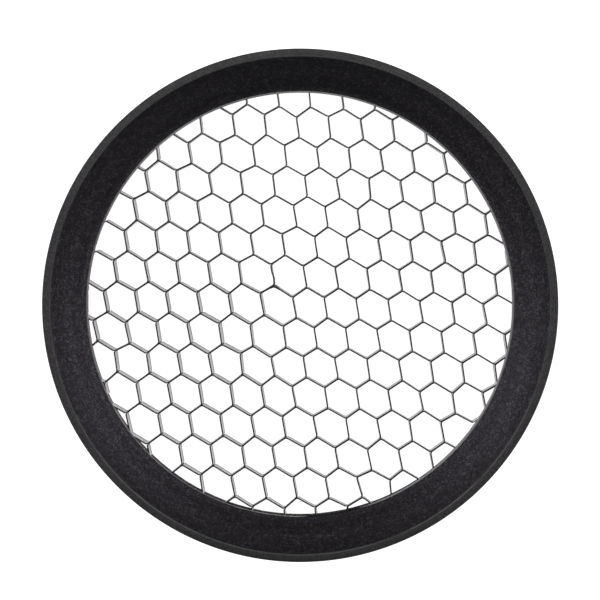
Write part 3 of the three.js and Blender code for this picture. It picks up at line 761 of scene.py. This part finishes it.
def build_magnets():
    for k, node in enumerate(MAGNETS):
        x, y, radius, rear, front = part_extent(node)
        corners = [(0, rear, 0), (radius, rear, 0.14), (radius, front, 0.14), (0, front, 0)]
        obj = revolve(f"disc_magnet_{k + 1:02d}", fillet(corners, steps=5), 64, on_axis=True)
        move_to(obj, x, y)
        dress(obj, NICKEL, node)


def screw_profile(radius, rear, front):
    """Domed head at the rear, a thread drawn as separate rings, and a blunt tip."""
    shoulder = rear + SCREW_HEAD
    profile = [(0, rear)]
    profile += [(radius * math.sin(angle), rear + 0.34 * (1 - math.cos(angle * 0.98)))
                for angle in np.linspace(0.12, 1.25, 8)]
    profile += [(radius, rear + 0.40), (radius, shoulder - 0.06),
                (radius - 0.06, shoulder), (0.72, shoulder)]
    z = shoulder
    while z < front - 1.15:
        profile += [(0.56, z + 0.10 * THREAD_PITCH), (0.70, z + 0.50 * THREAD_PITCH),
                    (0.70, z + 0.56 * THREAD_PITCH), (0.56, z + 0.96 * THREAD_PITCH)]
        z += THREAD_PITCH
    return profile + [(0.50, front - 0.6), (0.25, front - 0.05), (0, front)]


def recess_cutter(length, width, turn, z):
    """One arm of the cross recess: a block that narrows towards the front."""
    bm = bmesh.new()
    bmesh.ops.create_cube(bm, size=1.0)
    for vert in bm.verts:
        taper = 1.12 if vert.co.z < 0 else 0.62
        vert.co = Vector((vert.co.x * length * taper, vert.co.y * width * taper,
                          vert.co.z * RECESS_DEPTH))
    bmesh.ops.rotate(bm, verts=bm.verts, cent=(0, 0, 0), matrix=Matrix.Rotation(turn, 3, "Z"))
    bmesh.ops.translate(bm, verts=bm.verts, vec=(0, 0, z))
    for vert in bm.verts:
        vert.co *= MM
    mesh = bpy.data.meshes.new("cutter")
    bm.to_mesh(mesh)
    bm.free()
    obj = bpy.data.objects.new("cutter", mesh)
    bpy.context.scene.collection.objects.link(obj)
    return obj


def build_screws():
    for k, node in enumerate(SCREWS):
        x, y, radius, rear, front = part_extent(node)
        obj = revolve(f"cross_head_screw_{k + 1:02d}", screw_profile(radius, rear, front), 48,
                      on_axis=True)
        # Each screw is left at its own turn.
        subtract(obj, [recess_cutter(length, width, turn=0.35 + 0.9 * k, z=rear + 0.07)
                       for length, width in RECESS_ARMS])
        move_to(obj, x, y)
        dress(obj, STEEL, node)


# ------------------------------------------------------------------ honeycomb lattice
# Cell corners are of two kinds, A and B, each on a grid of steps i and j.
LATTICE_ORIGIN = np.array([-2.545, 10.195])
STEP_I = np.array([4.743, -0.162])
STEP_J = np.array([-1.594, -4.442])
A_TO_B = np.array([0.460, -3.083])
STRETCH_R = 31.8                        # radius at which the fields below have argument 1
# Smooth distortion of the grid: power of x, power of y, shift in x, shift in y.
STRETCH = [
    (0, 0, -0.177, 0.109), (1, 0, 0.124, -0.131), (0, 1, -0.083, 0.122),
    (2, 0, 0.239, -0.271), (1, 1, 0.454, -0.357), (0, 2, 0.497, -0.177),
    (3, 0, -0.278, 0.169), (2, 1, -0.333, 0.004), (1, 2, 0.012, 0.322), (0, 3, 0.296, -0.260),
]
# Further shift of single corners: kind, then i, then j: (x, y).
NUDGES = {
    "A": {
        -5: {-2: (0.01, -0.09), -1: (-0.14, 0.16), 0: (0.08, -0.12), 2: (-0.04, -0.13),
             3: (-0.21, 0.07)},
        -4: {-3: (0.00, -0.17), -2: (-0.11, 0.13), -1: (-0.02, -0.10), 1: (-0.01, -0.08),
             3: (0.03, -0.20), 4: (-0.13, 0.17), 5: (-0.25, -0.05)},
        -3: {-4: (0.05, -0.11), -3: (-0.08, 0.07), -2: (0.01, -0.21), -1: (-0.09, 0.08),
             2: (-0.03, -0.07), 4: (0.08, -0.17), 5: (-0.07, 0.00), 6: (-0.20, 0.05)},
        -2: {-4: (0.02, 0.07), -3: (0.04, -0.17), -2: (-0.06, 0.12), 2: (-0.09, 0.00),
             3: (-0.04, -0.07), 7: (-0.16, 0.00)},
        -1: {-4: (0.01, -0.15), 1: (-0.13, 0.18), 2: (-0.09, -0.11), 4: (-0.07, -0.02)},
        0: {-4: (-0.04, 0.14), -3: (0.03, -0.14), 0: (-0.04, 0.13), 1: (-0.06, 0.04),
            2: (-0.10, 0.16), 4: (0.03, 0.16)},
        1: {-4: (-0.04, -0.07), -2: (-0.06, -0.15), -1: (-0.07, 0.00), 0: (0.07, -0.07),
            2: (0.01, -0.24), 3: (0.18, -0.11), 4: (-0.07, -0.28), 5: (-0.03, -0.07),
            6: (-0.05, -0.08), 7: (0.08, -0.14), 8: (-0.04, -0.05)},
        2: {-4: (-0.10, 0.05), -3: (-0.07, -0.14), -1: (0.01, -0.18), 2: (-0.04, -0.09),
            3: (0.05, -0.14), 5: (-0.14, -0.01), 6: (-0.07, -0.03), 7: (-0.06, -0.04),
            8: (0.00, -0.10), 9: (-0.09, -0.10)},
        3: {-3: (-0.12, -0.09), -2: (-0.09, -0.11), -1: (-0.10, -0.01), 2: (-0.05, -0.05),
            4: (-0.06, -0.04), 6: (-0.18, 0.13), 8: (-0.09, -0.07), 9: (0.10, -0.29)},
        4: {-3: (-0.15, -0.20), -2: (-0.01, -0.07), -1: (-0.11, -0.02), 3: (-0.09, -0.01),
            7: (-0.08, 0.03)},
        5: {0: (-0.14, 0.09), 2: (-0.07, -0.02), 6: (-0.08, 0.04), 7: (0.03, -0.08),
            8: (-0.05, 0.21), 9: (0.08, 0.22)},
        6: {-1: (0.01, -0.08), 0: (0.02, 0.08), 5: (-0.08, -0.13), 7: (-0.08, 0.04),
            8: (0.20, -0.10)},
        7: {1: (0.06, -0.09), 2: (-0.10, -0.06), 3: (0.04, -0.06), 4: (-0.07, -0.03),
            5: (0.10, -0.18), 6: (-0.08, -0.01), 7: (-0.05, -0.16)},
        8: {4: (0.07, -0.10), 5: (-0.15, 0.13)},
    },
    "B": {
        -5: {-3: (-0.03, 0.20), -2: (0.13, -0.02), -1: (-0.03, 0.18), 0: (0.12, 0.03),
             2: (0.05, -0.06), 3: (0.00, 0.23)},
        -4: {-3: (0.14, -0.13), -2: (-0.13, 0.09), -1: (0.06, 0.06), 1: (0.11, 0.00),
             3: (0.20, -0.17), 4: (-0.22, 0.22)},
        -3: {-5: (0.16, 0.14), -4: (0.14, -0.09), -3: (-0.07, 0.09), -2: (0.11, -0.02),
             -1: (-0.02, 0.09), 5: (-0.02, 0.11)},
        -2: {-5: (0.14, -0.01), -4: (0.02, 0.12), -3: (0.12, -0.12), -2: (-0.01, 0.07),
             -1: (0.05, 0.06), 0: (0.03, 0.06), 3: (0.07, 0.02), 4: (0.07, -0.02),
             5: (0.07, 0.03), 6: (0.04, 0.12)},
        -1: {-5: (-0.02, 0.09), -4: (0.12, -0.12), 0: (0.07, 0.02), 1: (-0.18, 0.13),
             2: (-0.08, 0.13), 4: (0.07, 0.00), 6: (0.03, 0.06), 7: (-0.01, 0.13)},
        0: {-5: (0.14, -0.03), -3: (0.09, 0.00), -1: (0.13, -0.06), 0: (0.01, 0.10),
            1: (-0.06, 0.03), 2: (0.06, 0.04), 3: (-0.05, -0.12), 4: (-0.10, 0.13),
            7: (0.02, 0.07)},
        1: {-5: (0.01, 0.11), -4: (0.09, 0.01), -2: (0.09, -0.05), -1: (-0.01, 0.08),
            0: (0.09, 0.00), 1: (0.11, -0.10), 2: (0.14, -0.21), 3: (0.17, -0.17),
            4: (-0.01, 0.10), 6: (0.02, 0.07), 7: (0.07, -0.03), 8: (0.08, 0.02)},
        2: {-3: (0.06, -0.04), -2: (-0.10, 0.03), 0: (0.09, 0.02), 1: (0.08, -0.01),
            3: (0.07, -0.02), 5: (-0.02, 0.11), 8: (0.14, -0.18)},
        3: {-4: (0.01, -0.09), 0: (0.12, 0.00), 6: (-0.04, 0.15)},
        4: {-3: (0.06, -0.03), -1: (0.01, 0.09), 1: (0.08, 0.02), 5: (0.01, 0.07),
            7: (-0.04, 0.15), 8: (0.08, 0.01)},
        5: {-2: (0.10, 0.03), 0: (0.11, 0.10), 4: (0.08, 0.05), 5: (0.05, 0.05),
            6: (0.01, 0.22), 7: (0.20, -0.11), 8: (0.38, 0.27)},
        6: {-1: (0.07, -0.01), 5: (0.04, 0.16), 7: (0.05, 0.07)},
        7: {2: (0.06, 0.02), 3: (0.09, -0.02), 4: (-0.15, 0.12), 5: (0.07, -0.12)},
    },
}


def lattice_node(kind, i, j):
    """Position (x, y) of one cell corner on the front of the core."""
    point = LATTICE_ORIGIN + i * STEP_I + j * STEP_J + (A_TO_B if kind == "B" else 0)
    u, v = np.clip(point / STRETCH_R, -1.1, 1.1)
    for x_power, y_power, dx, dy in STRETCH:
        point = point + np.array([dx, dy]) * u ** x_power * v ** y_power
    return point + np.array(NUDGES[kind].get(i, {}).get(j, (0.0, 0.0)))


# ------------------------------------------------------------------ how the cells lean
# Shift in x (first row) and y (second row) from front to back, as factors of 1, x, y, x*x and
# x*y, with x and y over STRETCH_R. One table for each half of the core.
LEAN_UPPER = np.array([(0.016, -0.111, -0.022, 0.055, -0.053),
                       (-0.027, -0.043, 0.052, -0.011, -0.025)])
LEAN_LOWER = np.array([(0.073, -0.103, -0.027, 0.034, 0.080),
                       (-0.023, -0.092, 0.084, 0.077, 0.017)])
# Local lean on top of that. Rows are y and columns x, each from -30 to 30 in steps of 6.
LEAN_GRID_START, LEAN_GRID_STEP = -30.0, 6.0
LOCAL_LEAN_X = np.array([
    [-0.16, -0.15, -0.09, -0.04, -0.00, 0.03, 0.08, 0.07, 0.04, 0.03, 0.03],
    [-0.16, -0.15, -0.09, -0.04, -0.04, 0.01, 0.05, 0.01, 0.01, 0.03, 0.05],
    [-0.16, -0.14, -0.10, -0.04, -0.01, -0.03, -0.05, -0.05, 0.00, 0.05, 0.06],
    [-0.16, -0.10, -0.02, 0.06, 0.01, -0.04, -0.03, -0.04, 0.01, 0.06, 0.04],
    [-0.11, -0.08, 0.04, 0.14, -0.02, -0.08, -0.06, -0.00, 0.03, 0.01, -0.00],
    [-0.07, -0.04, 0.01, 0.14, 0.08, -0.04, -0.04, -0.02, 0.00, 0.03, 0.03],
    [-0.06, -0.03, -0.02, 0.06, 0.04, -0.00, -0.03, -0.06, -0.00, 0.05, 0.10],
    [-0.05, -0.04, -0.01, 0.02, -0.02, 0.00, 0.00, 0.01, 0.01, 0.07, 0.11],
    [-0.03, -0.01, 0.03, -0.02, -0.01, -0.00, -0.00, 0.01, 0.01, 0.06, 0.10],
    [0.00, 0.01, -0.00, -0.03, -0.02, -0.01, -0.02, 0.03, 0.00, 0.03, 0.06],
    [0.03, 0.00, -0.02, -0.04, -0.03, 0.01, 0.01, 0.03, 0.02, 0.01, 0.01],
])
LOCAL_LEAN_Y = np.array([
    [-0.05, -0.07, -0.08, -0.10, -0.12, -0.14, -0.13, -0.13, -0.10, -0.06, -0.03],
    [-0.08, -0.06, -0.05, -0.06, -0.08, -0.07, -0.05, -0.08, -0.07, -0.04, -0.02],
    [-0.10, -0.05, -0.03, -0.02, -0.04, -0.01, 0.00, -0.03, -0.05, -0.02, -0.01],
    [-0.12, -0.03, 0.03, 0.04, 0.01, -0.01, 0.01, 0.02, -0.00, -0.01, -0.01],
    [-0.07, -0.02, 0.04, 0.10, 0.06, 0.05, 0.03, 0.02, 0.01, -0.01, -0.02],
    [0.02, 0.02, 0.05, 0.10, 0.07, 0.05, 0.02, 0.00, -0.04, -0.04, -0.00],
    [0.08, 0.01, -0.01, 0.01, -0.03, -0.03, -0.04, -0.02, -0.07, -0.07, 0.02],
    [0.09, 0.04, -0.01, -0.03, -0.01, 0.01, -0.01, -0.01, -0.01, -0.01, 0.01],
    [0.10, 0.08, 0.03, -0.02, 0.01, -0.01, -0.01, 0.02, 0.01, -0.00, -0.00],
    [0.11, 0.09, 0.05, 0.04, 0.04, 0.01, 0.02, 0.07, 0.04, 0.01, -0.01],
    [0.11, 0.10, 0.09, 0.09, 0.08, 0.07, 0.07, 0.08, 0.06, 0.03, -0.01],
])
KINK_X, KINK_Y = -3.95, 3.75            # a wall pushed sideways at the front
CRUSH_X, CRUSH_Y = -3.99, 2.53          # the corner below it, folded over at the front


def smooth_step(low, high, value):
    part = np.clip((value - low) / (high - low), 0, 1)
    return part * part * (3 - 2 * part)


def local_lean(x, y):
    """The two lean grids, interpolated at x, y."""
    u = np.clip((x - LEAN_GRID_START) / LEAN_GRID_STEP, 0, 9.999)
    v = np.clip((y - LEAN_GRID_START) / LEAN_GRID_STEP, 0, 9.999)
    i, j = np.floor(u).astype(int), np.floor(v).astype(int)
    u, v = u - i, v - j
    return np.stack([
        grid[j, i] * (1 - u) * (1 - v) + grid[j, i + 1] * u * (1 - v)
        + grid[j + 1, i] * (1 - u) * v + grid[j + 1, i + 1] * u * v
        for grid in (LOCAL_LEAN_X, LOCAL_LEAN_Y)], -1)


def broad_lean(x, y):
    lower = 1 - smooth_step(1.0, 4.5, y)
    u, v = x / STRETCH_R, y / STRETCH_R
    terms = np.stack([np.ones_like(u), u, v, u * u, u * v], -1)
    return (terms @ LEAN_UPPER.T) * (1 - lower)[..., None] + (terms @ LEAN_LOWER.T) * lower[..., None]


def crushed(x, y):
    """1 at the folded corner, 0 away from it."""
    dx, dy = x - CRUSH_X, y - CRUSH_Y
    along = dx * 0.907 + dy * 0.421
    across = -dx * 0.421 + dy * 0.907
    return np.exp(-(along / 0.52) ** 4 - (across / 0.40) ** 2)


def foil_shift(points):
    """How the core departs from straight prisms: lean, slight buckling, one crushed corner."""
    x, y, z = points.T
    depth = (CORE_FRONT_Z - z) / (CORE_FRONT_Z - CORE_REAR_Z)
    shift = np.zeros_like(points)
    shift[:, :2] = (broad_lean(x, y) + local_lean(x, y)) * depth[:, None]
    where = np.stack([x, y, z * 1.4], 1)
    shift[:, 0] += 0.030 * fractal(where, 3.4, 2, 71)
    shift[:, 1] += 0.030 * fractal(where, 3.4, 2, 73)
    kink = np.exp(-((x - KINK_X) ** 2 + (y - KINK_Y) ** 2) / (2 * 0.42 ** 2))
    shift[:, 0] += 0.25 * kink * smooth_step(4.0, 8.0, z)
    shift[:, 2] -= 0.08 * crushed(x, y) * np.clip((z - 7.2) / 0.9, 0, 1) ** 2
    # Front edges are not quite level.
    uneven = -0.02 + 0.02 * fractal(np.stack([x, y, np.zeros_like(x)], 1), 1.9, 2, 79)
    shift[:, 2] += np.where(z > 8.0, uneven, 0.0)
    return shift


# ------------------------------------------------------------------ honeycomb foils
FOIL_END_R = HOOP_WALL_R + 0.12         # foil ends run this far into the hoop
# Right and left faces of the foil, measured from the wall's centreline: plain wall, and the
# thicker bead that the coating forms along the cut edges. Bonded walls lie to one side.
WAIST = {"free": (-0.070, 0.070), "bond_right": (-0.112, -0.008), "bond_left": (0.008, 0.112)}
BEAD = {"free": (-0.113, 0.113), "bond_right": (-0.141, -0.003), "bond_left": (0.003, 0.141)}
CORNER_CUT = 0.24                       # how far back from a corner its bend starts
CORNER_STEPS = 4
WALL_POINTS = (0.33, 0.67)              # added points along each wall, as shares of its length
# Points up one side of a foil: z, and how much of it is bead (1) or plain wall (0).
FOIL_LEVELS = [
    (CORE_REAR_Z + 0.05, 1.0), (CORE_REAR_Z + 0.14, 1.25), (CORE_REAR_Z + 0.26, 0.25),
    (4.6, 0.0), (6.2, 0.0), (7.3, 0.0),
    (CORE_FRONT_Z - 0.34, 0.15), (CORE_FRONT_Z - 0.20, 0.9), (CORE_FRONT_Z - 0.05, 1.0),
]
SQUASH_Z = 7.0                          # in front of this the foil's thickness is adjusted


def foil_path(diagonal, first, last):
    """Corners of one zigzag foil (i + j = diagonal) and the kind of wall after each."""
    corners, walls = [], []
    for i in range(first, last):
        j = diagonal - i
        corners += [lattice_node("A", i, j + 1), lattice_node("B", i, j),
                    lattice_node("A", i + 1, j + 1), lattice_node("B", i + 1, j)]
        walls += ["bond_right", "free", "bond_left", "free"]
    return corners, walls


def unit(vector):
    return vector / np.linalg.norm(vector)


def offset_line(start, end, distance):
    """The line from start to end moved to its left, as a point and a direction."""
    along = unit(end - start)
    return start + np.array([-along[1], along[0]]) * distance, along


def meet(line, other):
    """Where two lines cross."""
    (p, u), (q, v) = line, other
    gap = q - p
    return p + u * ((gap[0] * v[1] - gap[1] * v[0]) / (u[0] * v[1] - u[1] * v[0]))


def rounded_side(nodes, walls, faces, side):
    """One outline of a foil, with bent corners and points along each wall."""
    corners = [meet(offset_line(nodes[k - 1], nodes[k], faces[walls[k - 1]][side]),
                    offset_line(nodes[k], nodes[k + 1], faces[walls[k]][side]))
               for k in range(1, len(nodes) - 1)]
    points = []
    for k in range(1, len(corners) - 1):
        before, corner, after = corners[k - 1:k + 2]
        start = corner + unit(before - corner) * CORNER_CUT
        end = corner + unit(after - corner) * CORNER_CUT
        for t in np.linspace(0, 1, CORNER_STEPS + 1):
            points.append((1 - t) ** 2 * start + 2 * t * (1 - t) * corner + t * t * end)
        if k + 1 < len(corners) - 1:
            next_start = after + unit(corner - after) * CORNER_CUT
            points += [end + (next_start - end) * t for t in WALL_POINTS]
    return np.array(points)


def clip_runs(path, radius):
    """Stretches of a foil inside the radius, cut at it. path is (points, outlines, xy)."""
    middle = path.mean(1)
    inside = np.hypot(middle[:, 0], middle[:, 1]) < radius

    def cut(start, end):
        low, high = 0.0, 1.0
        for _ in range(30):
            t = (low + high) / 2
            if np.hypot(*(middle[start] + (middle[end] - middle[start]) * t)) < radius:
                low = t
            else:
                high = t
        return path[start] + (path[end] - path[start]) * low

    runs, k = [], 0
    while k < len(middle):
        if not inside[k]:
            k += 1
            continue
        start = k
        while k < len(middle) and inside[k]:
            k += 1
        rows = list(path[start:k])
        if start > 0:
            rows.insert(0, cut(start, start - 1))
        if k < len(middle):
            rows.append(cut(k - 1, k))
        runs.append(np.array(rows))
    return runs


def foil_section(wall_left, wall_right, bead_left, bead_right):
    """Closed loop round the foil at one station: up the left side, down the right."""
    middle = (bead_left + bead_right) / 2
    lower = float(1 - smooth_step(-3.0, 3.0, middle[1]))
    squash = 1.0 + 1.1 * float(crushed(*middle)) + 0.015 - 0.09 * lower
    wall_middle = (wall_left + wall_right) / 2

    def side(wall, bead):
        points = []
        for z, beaded in FOIL_LEVELS:
            point = wall + (bead - wall) * beaded
            if z > SQUASH_Z:
                point = wall_middle + (point - wall_middle) * squash
            points.append((*point, z))
        return points

    # The cut edges at front and rear are narrower than the bead.
    half = (bead_left - bead_right) / 2 * squash
    left, right = middle + half * 0.6, middle - half * 0.6
    return (side(wall_left, bead_left) + [(*left, CORE_FRONT_Z), (*right, CORE_FRONT_Z)]
            + side(wall_right, bead_right)[::-1] + [(*right, CORE_REAR_Z), (*left, CORE_REAR_Z)])


def foil_mesh(name, path):
    count = len(path)
    verts = np.array([foil_section(*station) for station in path], float)
    loop = verts.shape[1]
    verts = verts.reshape(-1, 3)
    verts = verts + foil_shift(verts)
    # Each end runs on in the direction of its wall until it meets the hoop, at every height.
    middle = path.mean(1)
    for end, inner in ((0, 1), (count - 1, count - 2)):
        outward = unit(middle[end] - middle[inner])
        rows = slice(end * loop, (end + 1) * loop)
        points = verts[rows, :2]
        along = points @ outward
        reach = along ** 2 - (points ** 2).sum(1) + FOIL_END_R ** 2
        travel = -along + np.sqrt(np.maximum(reach, 0.0))
        verts[rows, :2] = points + np.clip(travel, -0.6, 0.6)[:, None] * outward
    scale = np.minimum(1.0, FOIL_END_R / np.hypot(verts[:, 0], verts[:, 1]))
    verts[:, :2] *= scale[:, None]
    verts[:, 2] = np.clip(verts[:, 2], CORE_REAR_Z, CORE_FRONT_Z)

    faces = []
    for k in range(count - 1):
        here, there = k * loop, (k + 1) * loop
        for a in range(loop):
            b = (a + 1) % loop
            faces.append((here + a, here + b, there + b, there + a))
    # End caps as strips of quads between the two sides.
    levels = len(FOIL_LEVELS)
    left = [loop - 1, *range(levels + 1)]
    right = list(range(loop - 2, levels, -1))
    for base, order in ((0, 1), ((count - 1) * loop, -1)):
        for k in range(len(left) - 1):
            quad = (left[k], left[k + 1], right[k + 1], right[k])
            faces.append(tuple(base + corner for corner in quad)[::order])
    return make_object(name, verts, faces, sharp_deg=38.0)


def foil_pieces():
    """(length, centre of its box, path) of each piece of foil in the hoop, longest first."""
    pieces = []
    for diagonal in range(-16, 19):
        span = [i for i in range(-16, 18)
                if np.hypot(*lattice_node("A", i, diagonal - i + 1)) < HOOP_WALL_R + 9]
        if len(span) < 2:
            continue
        nodes, walls = foil_path(diagonal, span[0] - 1, span[-1] + 2)
        # Outlines in the order wall left, wall right, bead left, bead right.
        path = np.stack([rounded_side(nodes, walls, faces, side)
                         for faces in (WAIST, BEAD) for side in (1, 0)], 1)
        for run in clip_runs(path, HOOP_WALL_R - 0.04):
            length = np.hypot(*np.diff(run.mean(1), axis=0).T).sum()
            if length < 0.35 or len(run) < 2:
                continue
            flat = run.reshape(-1, 2)
            pieces.append((length, (flat.min(0) + flat.max(0)) / 2, run))
    return sorted(pieces, key=lambda piece: -piece[0])


def build_foils():
    """Gives each piece the name of the nearest unused ribbon of the frame."""
    boxes = {name: box_mm(name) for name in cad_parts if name.startswith("foil_ribbon_")}
    unused = set(boxes)
    for _, centre, run in foil_pieces():
        best, nearest = None, 0.9
        for node in sorted(unused):
            low, high = boxes[node]
            distance = np.hypot(*((low + high)[:2] / 2 - centre))
            if distance < nearest:
                best, nearest = node, distance
        if best is None:
            continue
        unused.discard(best)
        obj = foil_mesh(best.replace("foil_ribbon_", "corrugated_foil_"), run)
        dress(obj, FOIL, best)
    # A ribbon with no new piece keeps its own mesh, in the foil's material.
    for node in sorted(unused):
        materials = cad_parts[node].data.materials
        materials.clear()
        materials.append(FOIL)


build_outer_ring()
build_bezel()
build_hoop()
build_rear_ring()
build_magnets()
build_screws()
build_foils()


# ------------------------------------------------------------------ stage, in metres
FLOOR_HALF, FLOOR_Z = 3.0, -0.0004
FLOOR_SEEN, FLOOR_LIGHT = 1.0, 0.40     # floor's glow as seen directly or mirrored, and as a light
WORLD_SEEN, WORLD_LIGHT = 1.0, 0.20     # the same for the world, seen directly only
LIGHT_DISTANCE = 0.75
CAMERA_DISTANCE = 0.550
CAMERA_LENS = 223.905                   # focal length, mm
CAMERA_SENSOR = 36.0                    # mm
CAMERA_SLOPE_X, CAMERA_SLOPE_Y = 0.00321565, 0.03001273     # sideways travel per unit of -Z
CAMERA_RIGHT, CAMERA_UP = -0.00000987472, 0.000855859       # shift in the camera's own plane

scene = bpy.context.scene


def set_view():
    scene.view_settings.view_transform = "Standard"
    scene.view_settings.look = "None"
    scene.view_settings.exposure = 0.0
    scene.view_settings.gamma = 1.0


def build_floor():
    """Pale floor, bright enough to go white behind the cells, like a light table."""
    mesh = bpy.data.meshes.new("floor")
    signs = ((-1, -1), (1, -1), (1, 1), (-1, 1))
    mesh.from_pydata([(x * FLOOR_HALF, y * FLOOR_HALF, FLOOR_Z) for x, y in signs],
                     [], [(0, 1, 2, 3)])
    floor = bpy.data.objects.new("floor", mesh)
    scene.collection.objects.link(floor)
    mat = Shader("pale_floor")
    rays = mat.node("LightPath").outputs
    seen = mat.math("MAXIMUM", rays["Is Camera Ray"], rays["Is Glossy Ray"])
    glow = mat.plus(mat.scale(seen, by=FLOOR_SEEN - FLOOR_LIGHT), FLOOR_LIGHT)
    floor.data.materials.append(mat.finish(
        color=(0.80, 0.80, 0.80), rough=0.9, spec=0.1, glow=glow, glow_color=(1, 1, 1)))


def build_world():
    """White to the camera, dimmer as a light."""
    world = bpy.data.worlds.new("studio")
    scene.world = world
    world.use_nodes = True
    tree = world.node_tree
    tree.nodes.clear()
    output = tree.nodes.new("ShaderNodeOutputWorld")
    background = tree.nodes.new("ShaderNodeBackground")
    rays = tree.nodes.new("ShaderNodeLightPath")
    strength = tree.nodes.new("ShaderNodeMath")
    strength.operation = "MULTIPLY_ADD"
    strength.inputs[1].default_value = WORLD_SEEN - WORLD_LIGHT
    strength.inputs[2].default_value = WORLD_LIGHT
    background.inputs["Color"].default_value = (1, 1, 1, 1)
    tree.links.new(rays.outputs["Is Camera Ray"], strength.inputs[0])
    tree.links.new(strength.outputs[0], background.inputs["Strength"])
    tree.links.new(background.outputs[0], output.inputs[0])


def softbox(name, azimuth, elevation, width, height, power):
    """Area light aimed at the origin. Angles in degrees, azimuth from +X towards +Y."""
    turn, rise = math.radians(azimuth), math.radians(elevation)
    position = LIGHT_DISTANCE * Vector((
        math.cos(turn) * math.cos(rise), math.sin(turn) * math.cos(rise), math.sin(rise)))
    light = bpy.data.lights.new(name, "AREA")
    light.shape = "RECTANGLE"
    light.size, light.size_y = width, height
    light.energy = power
    obj = bpy.data.objects.new(name, light)
    obj.location = position
    obj.rotation_mode = "QUATERNION"
    obj.rotation_quaternion = (-position).to_track_quat("-Z", "Y")
    scene.collection.objects.link(obj)


def build_lights():
    softbox("softbox_left", azimuth=156.0, elevation=20.0, width=0.70, height=0.301, power=2.2)
    softbox("softbox_right", azimuth=24.0, elevation=20.0, width=0.70, height=0.301, power=2.15)
    softbox("softbox_top", azimuth=90.0, elevation=80.0, width=0.16, height=0.16, power=0.50)
    softbox("fill_left", azimuth=208.0, elevation=40.0, width=0.40, height=0.40, power=0.52)
    softbox("fill_right", azimuth=332.0, elevation=40.0, width=0.40, height=0.40, power=0.42)


def build_camera():
    """Long lens, nearly square on, a little above the middle."""
    forward = Vector((-CAMERA_SLOPE_X, -CAMERA_SLOPE_Y, -1.0)).normalized()
    right = forward.cross(Vector((0, 1, 0))).normalized()
    up = right.cross(forward).normalized()
    camera = bpy.data.cameras.new("camera")
    camera.sensor_width = CAMERA_SENSOR
    camera.lens = CAMERA_LENS
    camera.clip_start, camera.clip_end = 0.01, 20.0
    obj = bpy.data.objects.new("camera", camera)
    obj.rotation_mode = "QUATERNION"
    obj.rotation_quaternion = Matrix((right, up, -forward)).transposed().to_quaternion()
    rim_centre = Vector((0, 0, RIM_Z * MM))
    obj.location = (rim_centre - forward * CAMERA_DISTANCE
                    + right * CAMERA_RIGHT + up * CAMERA_UP)
    scene.collection.objects.link(obj)
    scene.camera = obj


set_view()
build_floor()
build_world()
build_lights()
build_camera()
